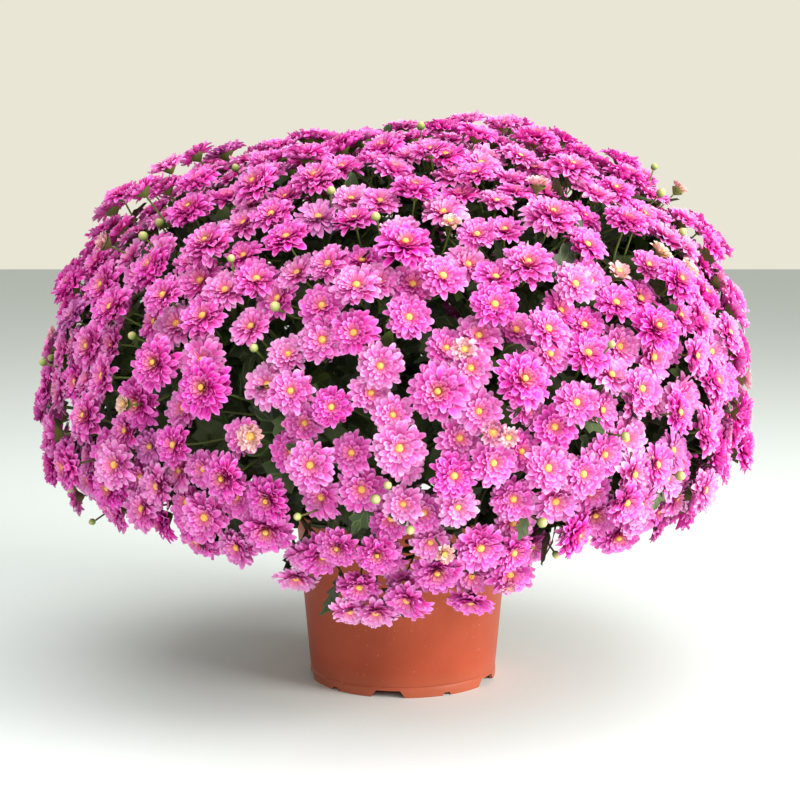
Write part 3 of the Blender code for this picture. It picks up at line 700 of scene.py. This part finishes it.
def ring_petal(ring, azimuth, draw):
    """One petal of a ring: its root near the middle and its tip at the ring's reach."""
    piece = copy_of(draw.choice((arched_petal, curled_petal)) if ring.reach > SHORT_REACH else short_petal)
    run = ring.reach * draw.uniform(0.86, 1.04) - PETAL_ROOT
    lift = ring.height + draw.uniform(-0.05, 0.05) - ring.root
    pitch = math.atan2(lift, run) + draw.uniform(-0.1, 0.1)
    length = math.hypot(run, lift)
    width = ring.width * draw.uniform(0.85, 1.1)
    piece.data.transform(
        Matrix.Rotation(azimuth, 4, "Z")
        @ Matrix.Translation((PETAL_ROOT, 0, ring.root))
        @ Matrix.Rotation(-pitch, 4, "Y")
        @ Matrix.Rotation(draw.uniform(-0.4, 0.4), 4, "X")
        @ Matrix.Rotation(draw.uniform(-0.1, 0.1), 4, "Z")
        @ Matrix.Diagonal((length, width, length, 1))
    )
    mark(piece, "petal", (draw.random(), ring.reach, 0.0))
    return piece


def make_bloom(kind, number):
    draw = random.Random(f"{kind} {number}")
    pieces = []
    for layer, ring in enumerate(FORMS[kind]):
        for k in range(ring.count):
            azimuth = (k + 0.5 * (layer % 2) + draw.uniform(-0.2, 0.2)) * math.tau / ring.count
            pieces.append(ring_petal(ring, azimuth, draw))
    if kind in EYES:
        radius, height = EYES[kind]
        piece = copy_of(eye)
        piece.data.transform(Matrix.Translation((0, 0, height)) @ Matrix.Diagonal((radius, radius, radius, 1)))
        pieces.append(piece)
    return join(pieces, f"{kind}_{number}")


masters = {kind: [make_bloom(kind, n) for n in range(COPIES[kind])] for kind in FORMS}
masters["bud"] = [bud]
for kind, forms in masters.items():
    print(kind, "has", sum(len(p.vertices) - 2 for p in forms[0].data.polygons), "triangles")

# %% [markdown]
# Now each spray is filled. Every bloom is a copy of a form, scaled to its radius, turned to its own
# facing, and marked with its shade: doubles are deep pink, semi-doubles and young ones paler, half-open
# ones warm and a few old ones faded.

# %% Sprays of blooms
SHADE_SEED = 5
FADED = 0.012  # share of the smaller open flowers that are old
PALENESS = {"double": (0.0, 0.4), "semi_double": (0.05, 0.8), "young": (0.15, 1.0)}
Shade = namedtuple("Shade", "pale warm faded")


def shade_of(kind, draw):
    if kind == "opening":
        return Shade(0.8, draw.uniform(0.25, 0.85), 0.0)
    if kind == "bud":
        return Shade(0.8, draw.uniform(0.8, 1.0), 0.0)
    least, most = PALENESS[kind]
    faded = draw.uniform(0.4, 0.8) if kind != "double" and draw.random() < FADED else 0.0
    return Shade(draw.uniform(least, most), 0.0, faded)


def place_bloom(bloom, form, shade):
    piece = copy_of(form)
    mark(piece, "bloom", shade)
    turned = bloom.facing.to_track_quat("Z", "Y").to_matrix() @ Matrix.Rotation(bloom.turn, 3, "Z")
    size = bloom.radius * (BUD_SIZE if bloom.kind == "bud" else 1)
    piece.data.transform(Matrix.Translation(bloom.centre) @ (turned * size).to_4x4())
    return piece


draw = random.Random(SHADE_SEED)
triangles = 0
for s in range(SPRAYS):
    pieces = []
    for bloom in blooms:
        if bloom.spray == s:
            form = draw.choice(masters[bloom.kind])
            pieces.append(place_bloom(bloom, form, shade_of(bloom.kind, draw)))
    node = f"spray_{s + 1:02d}"
    spray = join(pieces, f"{node}_blooms")
    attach(spray, "root")
    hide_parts(node)
    triangles += sum(len(p.vertices) - 2 for p in spray.data.polygons)
print(SPRAYS, "sprays of blooms,", triangles, "triangles")

# %% [markdown]
# Stalks are thin, green and a little bent: each leaves its hub, and swings round to meet its bloom
# from behind. A straight tube is made once by extruding a circle ring by ring. Each copy has its
# rings moved onto the stalk's path.

# %% A tube that can be bent
STALK_RINGS = 5


def model_tube(name, sides, rings):
    """A straight open tube of unit radius and height."""
    bpy.ops.object.select_all(action="DESELECT")
    bpy.ops.mesh.primitive_circle_add(vertices=sides, radius=1)
    tube = bpy.context.object
    tube.name = name
    bpy.ops.object.mode_set(mode="EDIT")
    bpy.ops.mesh.select_all(action="SELECT")
    for _ in range(rings - 1):
        bpy.ops.mesh.extrude_region_move(TRANSFORM_OT_translate={"value": (0, 0, 1 / (rings - 1))})
    bpy.ops.mesh.select_all(action="SELECT")
    bpy.ops.mesh.normals_make_consistent(inside=False)
    bpy.ops.object.mode_set(mode="OBJECT")
    bpy.ops.object.shade_smooth()
    return tube


def bent(tube, path, radii):
    """A copy of the tube with its rings on the points of the path."""
    piece = copy_of(tube)
    last = len(path) - 1
    side = (path[last] - path[0]).orthogonal()
    rings = []
    for i, point in enumerate(path):
        ahead = (path[min(i + 1, last)] - path[max(i - 1, 0)]).normalized()
        across = (side - ahead * side.dot(ahead)).normalized()
        radius = radii[0] + (radii[1] - radii[0]) * i / last
        rings.append((point, across * radius, ahead.cross(across) * radius))
    for vert in piece.data.vertices:
        point, across, other = rings[round(vert.co.z * last)]
        vert.co = point + across * vert.co.x + other * vert.co.y
    return piece


def curve_points(start, control, end, count):
    """Points on a quadratic curve."""
    found = []
    for i in range(count):
        t = i / (count - 1)
        found.append(start * (1 - t) ** 2 + control * 2 * t * (1 - t) + end * t**2)
    return found


thin_tube = model_tube("thin_tube", 5, STALK_RINGS)
print("a stalk has", len(thin_tube.data.polygons) * 2, "triangles")

# %% [markdown]
# Chrysanthemum stems are green and ribbed when young, and brown and woody where they leave the soil.
# The height above the soil decides between the two.

# %% Stem material
SOIL_LEVEL = 136 * MM
WOODY_HEIGHT = 110 * MM
STREAK = 1.5 * MM

stem_skin, tree, shader = new_material("stem_skin")
place = add(tree, "ShaderNodeTexCoord").outputs["Object"]
height = add(tree, "ShaderNodeSeparateXYZ", {"Vector": place}).outputs["Z"]
height = add(
    tree, "ShaderNodeMapRange",
    {"Value": height, "From Min": SOIL_LEVEL, "From Max": SOIL_LEVEL + WOODY_HEIGHT},
).outputs["Result"]
colour = ramp(tree, height, ((0.0, "#5f4a2e"), (0.5, "#5d5a2e"), (1.0, "#65772f")))
grain = add(tree, "ShaderNodeTexNoise", {"Vector": place, "Scale": 1 / STREAK})
grain = add(tree, "ShaderNodeMapRange", {"Value": grain.outputs["Fac"], "To Min": 0.75, "To Max": 1.2})
colour = add(tree, "ShaderNodeHueSaturation", {"Color": colour, "Value": grain.outputs["Result"]})
tree.links.new(colour.outputs["Color"], shader.inputs["Base Color"])
shader.inputs["Roughness"].default_value = 0.6
thin_tube.data.materials.append(stem_skin)
print("stems turn woody below", round((SOIL_LEVEL + WOODY_HEIGHT) / MM), "mm")

# %% [markdown]
# Under each bloom sits the calyx, a small green cup of overlapping scales. A cone that opens upwards
# is enough for it, because the petals hide all but its sides. Each plant's woody stem and branches
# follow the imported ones: up out of the soil to a fork, and from there in arches to the hubs.

# %% Stems, branches and stalks
STEM_RING_RADIUS = 42 * MM
STEM_RADIUS = 4.2 * MM
STEM_FOOT = 100 * MM
FORK_HEIGHT = 163 * MM
BRANCH_RADII = (2.6 * MM, 1.5 * MM)
BRANCH_ARCH = 0.35
HUB_RADIUS = 3.2 * MM
STALK_RADII = (1.1 * MM, 0.8 * MM)
STALK_SEAT = 0.36  # how far under the middle of a bloom its stalk ends, in radii
STALK_SWING = 0.4
CUP_SIZES = {"bud": 1.9, "opening": 1.5}  # a young bloom's calyx, beside that of an open one

bpy.ops.object.select_all(action="DESELECT")
bpy.ops.mesh.primitive_cone_add(
    vertices=9, radius1=0.09, radius2=0.36, depth=0.26, end_fill_type="NOTHING",
    location=(0, 0, -STALK_SEAT + 0.13),
)
calyx = bpy.context.object
calyx.name = "calyx"
bpy.ops.object.transform_apply(location=True)
bpy.ops.object.mode_set(mode="EDIT")
pick(calyx, lambda co: co.z > -0.2)
bpy.ops.mesh.extrude_region_move(TRANSFORM_OT_translate={"value": (0, 0, 0.08)})
bpy.ops.transform.resize(value=(1.06, 1.06, 1), center_override=(0, 0, 0))
bpy.ops.object.mode_set(mode="OBJECT")
bpy.ops.object.shade_smooth()
calyx.data.materials.append(stem_skin)

stout_tube = model_tube("stout_tube", 10, 8)
stout_tube.data.materials.append(stem_skin)


def fork_of(plant):
    return polar(STEM_RING_RADIUS, (plant + 0.5) * math.tau / PLANTS, FORK_HEIGHT)


def branch_path(spray, count):
    start = fork_of(spray.plant)
    end = spray.hub + spray.outward * 0.5 * HUB_RADIUS
    control = start + Vector((0, 0, BRANCH_ARCH * (end - start).length))
    return curve_points(start, control, end, count)


def stalk_path(bloom):
    """From the hub of the spray to the back of the bloom."""
    hub = sprays[bloom.spray].hub
    end = bloom.centre - bloom.facing * STALK_SEAT * bloom.radius * CUP_SIZES.get(bloom.kind, 1)
    control = end - bloom.facing * STALK_SWING * (end - hub).length
    return curve_points(hub, control, end, STALK_RINGS)


for plant in range(PLANTS):
    fork = fork_of(plant)
    foot = Vector((fork.x, fork.y, STEM_FOOT))
    top = fork + Vector((0, 0, 4 * MM))
    pieces = [bent(stout_tube, curve_points(foot, (foot + top) / 2, top, 8), (STEM_RADIUS, 0.8 * STEM_RADIUS))]
    for s, spray in enumerate(sprays):
        if spray.plant == plant:
            pieces.append(bent(stout_tube, branch_path(spray, 8), BRANCH_RADII))
            for bloom in blooms:
                if bloom.spray == s:
                    pieces.append(bent(thin_tube, stalk_path(bloom), STALK_RADII))
                    cup = bloom._replace(radius=bloom.radius * CUP_SIZES.get(bloom.kind, 1))
                    pieces.append(place_bloom(cup, calyx, (0, 0, 0)))
    stems = join(pieces, f"plant_{plant + 1}_stems")
    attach(stems, "root")
    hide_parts(f"leafy_stems_{plant + 1}")
    print(stems.name, len(stems.data.polygons), "faces")

# %% [markdown]
# The leaves are dark green, with five to seven blunt lobes. The blade is shaped as the petal was, from
# a longer grid: its rows are wide at a lobe and narrow between two, and wide rows lean forwards, since
# lobes point to the tip.

# %% One leaf
LEAF_ROWS = (
    (0.0, 0.05, 0.0), (0.16, 0.10, 0.03), (0.30, 0.46, 0.05), (0.40, 0.30, 0.06), (0.55, 0.66, 0.05),
    (0.62, 0.36, 0.04), (0.80, 0.46, 0.0), (0.86, 0.26, -0.02), (1.0, 0.10, -0.08),
)
SMALL_LEAF_ROWS = (
    (0.0, 0.05, 0.0), (0.20, 0.12, 0.03), (0.36, 0.50, 0.05), (0.48, 0.30, 0.05),
    (0.66, 0.52, 0.02), (0.78, 0.26, -0.02), (0.97, 0.12, -0.08),
)
LEAF_FOLD = 0.05
LEAF_TIP = 0.03
LOBE_LEAN = 0.08



def shape_leaf(name, rows, across):
    """A lobed leaf: the tips of its wide rows lean towards its own tip."""
    blade = shape_blade(name, rows, across, LEAF_FOLD, LEAF_TIP)
    bpy.ops.object.mode_set(mode="EDIT")
    for along, width, _ in rows[2:-1:2]:
        pick(blade, lambda co: abs(co.x - along) < NEAR and abs(co.y) > 0.4 * width)
        bpy.ops.transform.translate(value=(LOBE_LEAN, 0, -0.03))
    bpy.ops.object.mode_set(mode="OBJECT")
    return blade


leaf = shape_leaf("leaf", LEAF_ROWS, 4)
small_leaf = shape_leaf("small_leaf", SMALL_LEAF_ROWS, 2)
print("a leaf has", len(leaf.data.polygons) * 2, "triangles, a small one", len(small_leaf.data.polygons) * 2)

# %% [markdown]
# A leaf is darker than its veins. The UV map still runs from root to tip and from edge to edge, so the
# midrib is a line along its middle, and side veins are stripes that slant forwards from it.

# %% Leaf material
leaf_skin, tree, shader = new_material("leaf_skin")
uv = add(tree, "ShaderNodeUVMap", uv_map="UVMap")
parts = add(tree, "ShaderNodeSeparateXYZ", {"Vector": uv.outputs["UV"]})
side = add(tree, "ShaderNodeMath", {0: parts.outputs["Y"], 1: 0.5}, operation="SUBTRACT")
side = add(tree, "ShaderNodeMath", {0: side.outputs[0]}, operation="ABSOLUTE").outputs[0]
slant = add(tree, "ShaderNodeMath", {0: side, 1: -0.6, 2: parts.outputs["X"]}, operation="MULTIPLY_ADD")
stripe = add(tree, "ShaderNodeMath", {0: slant.outputs[0], 1: 0.16}, operation="PINGPONG").outputs[0]
thin = add(tree, "ShaderNodeMath", {0: stripe, 1: side}, operation="MINIMUM").outputs[0]
vein = add(
    tree, "ShaderNodeMapRange", {"Value": thin, "From Min": 0.01, "From Max": 0.045, "To Min": 1.0, "To Max": 0.0}
).outputs["Result"]
leaf_of = add(tree, "ShaderNodeAttribute", attribute_name="petal")
leaf_of = add(tree, "ShaderNodeSeparateColor", {"Color": leaf_of.outputs["Color"]})
blade = ramp(tree, leaf_of.outputs["Red"], ((0.0, "#203112"), (0.6, "#2f4417"), (1.0, "#465c20")))
colour = mix_colours(blade, ramp(tree, vein, ((0.0, "#3a5020"), (1.0, "#4c612a"))), vein)
bump = add(tree, "ShaderNodeBump", {"Height": vein, "Strength": 0.4, "Distance": 0.4 * MM})
bump.invert = True
tree.links.new(colour, shader.inputs["Base Color"])
tree.links.new(bump.outputs["Normal"], shader.inputs["Normal"])
shader.inputs["Roughness"].default_value = 0.5
leaf.data.materials.append(leaf_skin)
small_leaf.data.materials.append(leaf_skin)
print("leaf material has", len(tree.nodes), "nodes")

# %% [markdown]
# Small leaves grow on the flower stalks, larger ones on the branches and under the lowest sprays, and
# a layer of them shades the inside of the head. Each stands out from its stem at an angle and turns its
# face up to the light.

# %% Leaves
LEAF_SEED = 11
STALK_LEAVES = (1, 2)
STALK_LEAF_LENGTH = (20 * MM, 38 * MM)
BRANCH_LEAVES = 13
BRANCH_LEAF_LENGTH = (42 * MM, 62 * MM)
SHADE_LEAVES = 15
SHADE_LEAF_LENGTH = (42 * MM, 60 * MM)
SKIRT_TOP = 190 * MM
SKIRT_LEAVES = 7
SKIRT_LEAF_LENGTH = (30 * MM, 46 * MM)
LEAF_ANGLE = (45, 80)


def leaf_on(blade, path, share, length, draw):
    """One leaf that stands out from a path at a share of its length."""
    at = share * (len(path) - 1)
    i = min(int(at), len(path) - 2)
    root = path[i].lerp(path[i + 1], at - i)
    stem = (path[i + 1] - path[i]).normalized()
    around = Matrix.Rotation(draw.uniform(0, math.tau), 3, stem) @ stem.orthogonal().normalized()
    angle = math.radians(draw.uniform(*LEAF_ANGLE))
    along = stem * math.cos(angle) + around * math.sin(angle)
    face = stem + Vector((0, 0, 0.5))
    across = face.cross(along).normalized()
    up = along.cross(across).normalized()
    turned = Matrix((along, across, up)).transposed()
    piece = copy_of(blade)
    piece.data.transform(Matrix.Translation(root) @ (turned * length).to_4x4())
    mark(piece, "petal", (draw.random(), 0.0, 0.0))
    return piece


draw = random.Random(LEAF_SEED)
for plant in range(PLANTS):
    pieces = []
    for s, spray in enumerate(sprays):
        if spray.plant != plant:
            continue
        path = branch_path(spray, 8)
        for k in range(BRANCH_LEAVES):
            share = (k + draw.uniform(0.2, 0.7)) / BRANCH_LEAVES
            pieces.append(leaf_on(leaf, path, max(share, 0.2), draw.uniform(*BRANCH_LEAF_LENGTH), draw))
        stalks = [stalk_path(bloom) for bloom in blooms if bloom.spray == s]
        for path in stalks:
            for _ in range(draw.choice(STALK_LEAVES)):
                length = draw.uniform(*STALK_LEAF_LENGTH)
                pieces.append(leaf_on(small_leaf, path, draw.uniform(0.2, 0.75), length, draw))
        for _ in range(SHADE_LEAVES):
            length = draw.uniform(*SHADE_LEAF_LENGTH)
            pieces.append(leaf_on(small_leaf, draw.choice(stalks), draw.uniform(0.1, 0.5), length, draw))
        if spray.centre.z < SKIRT_TOP:
            outer = [path for path in stalks if path[-1].z < spray.centre.z]
            for path in outer[:SKIRT_LEAVES]:
                length = draw.uniform(*SKIRT_LEAF_LENGTH)
                pieces.append(leaf_on(leaf, path, draw.uniform(0.6, 0.9), length, draw))
    leaves = join(pieces, f"plant_{plant + 1}_leaves")
    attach(leaves, "root")
    print(leaves.name, len(pieces), "leaves")

# %% [markdown]
# The pot is moulded in one piece: a thin tapered wall with a lip, a floor, and a foot ring with a
# groove above it. A turned shape like this is a circle, extruded ring by ring along its profile. The
# corners are then rounded with a bevel.

# %% The pot's turned shape
POT_STEPS = 128
POT_HEIGHT = 145 * MM
POT_TOP_RADIUS = 95 * MM
POT_BASE_RADIUS = 80 * MM
POT_WALL = 1.8 * MM
LIP_DEPTH = 12 * MM
LIP_OVERHANG = 2.2 * MM
FOOT_HEIGHT = 8 * MM
FOOT_STEP = 0.8 * MM
FLOOR_UNDERSIDE = 7.2 * MM
FLOOR_THICKNESS = 2.4 * MM
GROOVE = 0.7 * MM


def wall_radius(height):
    return POT_BASE_RADIUS + (POT_TOP_RADIUS - LIP_OVERHANG - POT_BASE_RADIUS) * height / POT_HEIGHT


def lathe(name, profile, steps):
    """A closed turned shape. The profile's (radius, height) pairs begin and end near the axis."""
    bpy.ops.object.select_all(action="DESELECT")
    radius, height = profile[0]
    bpy.ops.mesh.primitive_circle_add(vertices=steps, radius=radius, location=(0, 0, height))
    turned = bpy.context.object
    turned.name = name
    bpy.ops.object.mode_set(mode="EDIT")
    bpy.ops.mesh.select_all(action="SELECT")
    bpy.ops.mesh.edge_face_add()
    bpy.ops.mesh.select_all(action="SELECT")
    for next_radius, next_height in profile[1:]:
        bpy.ops.mesh.extrude_edges_move(TRANSFORM_OT_translate={"value": (0, 0, next_height - height)})
        grow = next_radius / radius
        bpy.ops.transform.resize(value=(grow, grow, 1), center_override=(0, 0, next_height))
        radius, height = next_radius, next_height
    bpy.ops.mesh.edge_face_add()
    bpy.ops.mesh.select_all(action="SELECT")
    bpy.ops.mesh.normals_make_consistent(inside=False)
    bpy.ops.object.mode_set(mode="OBJECT")
    bpy.ops.object.transform_apply(location=True)
    return turned


floor_top = FLOOR_UNDERSIDE + FLOOR_THICKNESS
lip_under = POT_HEIGHT - LIP_DEPTH
pot_profile = (
    (20 * MM, FLOOR_UNDERSIDE),
    (wall_radius(0) - POT_WALL - FOOT_STEP, FLOOR_UNDERSIDE),
    (wall_radius(0) - POT_WALL - FOOT_STEP, 0),
    (wall_radius(0) + FOOT_STEP, 0),
    (wall_radius(0) + FOOT_STEP, FOOT_HEIGHT - FOOT_STEP),
    (wall_radius(FOOT_HEIGHT) - GROOVE, FOOT_HEIGHT),
    (wall_radius(FOOT_HEIGHT) - GROOVE, FOOT_HEIGHT + 1.2 * GROOVE),
    (wall_radius(FOOT_HEIGHT), FOOT_HEIGHT + 2.4 * GROOVE),
    (wall_radius(lip_under), lip_under),
    (POT_TOP_RADIUS - 0.6 * MM, lip_under),
    (POT_TOP_RADIUS, POT_HEIGHT),
    (wall_radius(POT_HEIGHT) - POT_WALL, POT_HEIGHT),
    (wall_radius(floor_top) - POT_WALL, floor_top),
    (20 * MM, floor_top),
)
pot = lathe("flower_pot", pot_profile, POT_STEPS)
bevel = pot.modifiers.new("corners", "BEVEL")
bevel.width = 0.35 * MM
bevel.segments = 2
bevel.limit_method = "ANGLE"
bpy.ops.object.modifier_apply(modifier="corners")
print("pot has", len(pot.data.polygons), "faces")

# %% [markdown]
# Notches are cut up into the foot ring, so that water can run out from under the pot: five wide and
# five narrow ones. Each is cut with a block whose ends lean, taken away with a Boolean.

# %% Notches and drain holes
NOTCH_PAIRS = 5
NOTCH_TURN = math.radians(-99)
Notch = namedtuple("Notch", "top bottom height")
WIDE_NOTCH = Notch(20 * MM, 32 * MM, 6 * MM)
NARROW_NOTCH = Notch(5 * MM, 9 * MM, 2.6 * MM)
DRAIN_RADIUS = 5 * MM


def notch_block(azimuth, notch):
    """A block across the foot ring, narrower at its top."""
    bpy.ops.object.select_all(action="DESELECT")
    bpy.ops.mesh.primitive_cube_add(size=1)
    block = bpy.context.object
    lower = notch.bottom + (notch.bottom - notch.top) * 0.5
    bpy.ops.object.mode_set(mode="EDIT")
    bpy.ops.mesh.select_all(action="SELECT")
    bpy.ops.transform.resize(value=(16 * MM, lower, 2 * notch.height))
    pick(block, lambda co: co.z > 0)
    bpy.ops.transform.resize(value=(1, notch.top / lower, 1), center_override=(0, 0, notch.height))
    bpy.ops.object.mode_set(mode="OBJECT")
    block.data.transform(Matrix.Translation(polar(POT_BASE_RADIUS, azimuth, 0)) @ Matrix.Rotation(azimuth, 4, "Z"))
    return block


def cut(obj, cutter):
    """Takes the cutter away from the object for good."""
    bpy.ops.object.select_all(action="DESELECT")
    bpy.context.view_layer.objects.active = obj
    modifier = obj.modifiers.new("cut", "BOOLEAN")
    modifier.object = cutter
    modifier.solver = "EXACT"
    bpy.ops.object.modifier_apply(modifier="cut")
    bpy.data.objects.remove(cutter)


step = math.tau / NOTCH_PAIRS
for i in range(NOTCH_PAIRS):
    cut(pot, notch_block(NOTCH_TURN + i * step, WIDE_NOTCH))
    cut(pot, notch_block(NOTCH_TURN + (i + 0.5) * step, NARROW_NOTCH))
    hole = polar(0.7 * POT_BASE_RADIUS, NOTCH_TURN + i * step, floor_top)
    bpy.ops.mesh.primitive_cylinder_add(vertices=24, radius=DRAIN_RADIUS, depth=10 * MM, location=hole)
    cut(pot, bpy.context.object)
bpy.ops.object.select_all(action="DESELECT")
pot.select_set(True)
bpy.context.view_layer.objects.active = pot
bpy.ops.object.shade_smooth_by_angle(angle=math.radians(35))
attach(pot, "root")
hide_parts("pot")
print("pot has", len(pot.data.polygons), "faces after cutting")

# %% [markdown]
# The pot is polypropylene coloured like terracotta: satin, with faint flow marks from the mould,
# small pale scuffs from handling, and dust that has settled near the foot.

# %% Pot material
FLOW_MARK = 45 * MM
SCUFF = 3.2 * MM

plastic, tree, shader = new_material("moulded_polypropylene")
place = add(tree, "ShaderNodeTexCoord").outputs["Object"]
flow = add(tree, "ShaderNodeTexNoise", {"Vector": place, "Scale": 1 / FLOW_MARK, "Detail": 3.0})
colour = ramp(tree, flow.outputs["Fac"], ((0.3, "#a24224"), (0.7, "#b24c2e")))
scuffs = add(tree, "ShaderNodeTexNoise", {"Vector": place, "Scale": 1 / SCUFF, "Detail": 6.0})
scuffs = add(
    tree, "ShaderNodeMapRange", {"Value": scuffs.outputs["Fac"], "From Min": 0.65, "From Max": 0.72, "To Max": 0.4}
).outputs["Result"]
height = add(tree, "ShaderNodeSeparateXYZ", {"Vector": place}).outputs["Z"]
dust = add(
    tree, "ShaderNodeMapRange",
    {"Value": height, "From Min": 0.0, "From Max": 22 * MM, "To Min": 0.2, "To Max": 0.0},
).outputs["Result"]
colour = mix_colours(colour, ramp(tree, scuffs, ((0.0, "#cf8a68"), (1.0, "#d79a7c"))), scuffs)
colour = mix_colours(colour, ramp(tree, dust, ((0.0, "#c08a6c"), (1.0, "#c08a6c"))), dust)
rough = add(tree, "ShaderNodeMapRange", {"Value": scuffs, "To Min": 0.46, "To Max": 0.7, "From Max": 0.4})
grain = add(tree, "ShaderNodeTexNoise", {"Vector": place, "Scale": 1 / MM, "Detail": 2.0})
bump = add(tree, "ShaderNodeBump", {"Height": grain.outputs["Fac"], "Strength": 0.12, "Distance": 0.2 * MM})
tree.links.new(colour, shader.inputs["Base Color"])
tree.links.new(rough.outputs["Result"], shader.inputs["Roughness"])
tree.links.new(bump.outputs["Normal"], shader.inputs["Normal"])
shader.inputs["Specular IOR Level"].default_value = 0.35
pot.data.materials.append(plastic)
print("pot material has", len(tree.nodes), "nodes")

# %% [markdown]
# The soil is seen only through gaps. It is turned like the pot, with many rings on its top, and a
# Displace modifier raises and lowers those at random, as crumbs of peat do.

# %% Potting soil
SOIL_TOP = 131 * MM
SOIL_MOUND = 5 * MM
SOIL_CLEAR = 0.4 * MM
SOIL_RINGS = 14
CRUMB = 6 * MM

soil_bottom = floor_top + 0.3 * MM
soil_profile = [(20 * MM, soil_bottom), (wall_radius(soil_bottom) - POT_WALL - SOIL_CLEAR, soil_bottom)]
edge = wall_radius(SOIL_TOP) - POT_WALL - SOIL_CLEAR
for i in range(SOIL_RINGS):
    share = i / SOIL_RINGS
    soil_profile.append((edge * (1 - share), SOIL_TOP + SOIL_MOUND * math.sin(share * math.pi / 2)))
soil = lathe("potting_mix", soil_profile, 96)
bpy.ops.object.mode_set(mode="EDIT")
pick(soil, lambda co: co.z > SOIL_TOP and co.xy.length < edge - MM)
bpy.ops.object.vertex_group_assign_new()
bpy.ops.object.mode_set(mode="OBJECT")
crumbs = bpy.data.textures.new("crumbs", "CLOUDS")
crumbs.noise_scale = CRUMB
heave = soil.modifiers.new("heave", "DISPLACE")
heave.texture = crumbs
heave.texture_coords = "LOCAL"
heave.strength = 5 * MM
heave.vertex_group = soil.vertex_groups[0].name
bpy.ops.object.modifier_apply(modifier="heave")
bpy.ops.object.shade_smooth_by_angle(angle=math.radians(40))

peat, tree, shader = new_material("peat_crumbs")
place = add(tree, "ShaderNodeTexCoord").outputs["Object"]
crumb = add(tree, "ShaderNodeTexNoise", {"Vector": place, "Scale": 1 / CRUMB, "Detail": 8.0})
colour = ramp(tree, crumb.outputs["Fac"], ((0.3, "#241a12"), (0.6, "#3d2c1e"), (0.75, "#5a4430")))
bump = add(tree, "ShaderNodeBump", {"Height": crumb.outputs["Fac"], "Strength": 0.8, "Distance": 2 * MM})
tree.links.new(colour, shader.inputs["Base Color"])
tree.links.new(bump.outputs["Normal"], shader.inputs["Normal"])
shader.inputs["Roughness"].default_value = 0.95
soil.data.materials.append(peat)
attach(soil, "root")
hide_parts("potting_soil")
print("soil has", len(soil.data.polygons), "faces")

# %% [markdown]
# The shapes that everything was copied from are taken away.

# %% Finish
for master in [arched_petal, curled_petal, short_petal, eye, leaf, small_leaf, calyx, thin_tube, stout_tube] + sum(masters.values(), []):
    bpy.data.objects.remove(master)
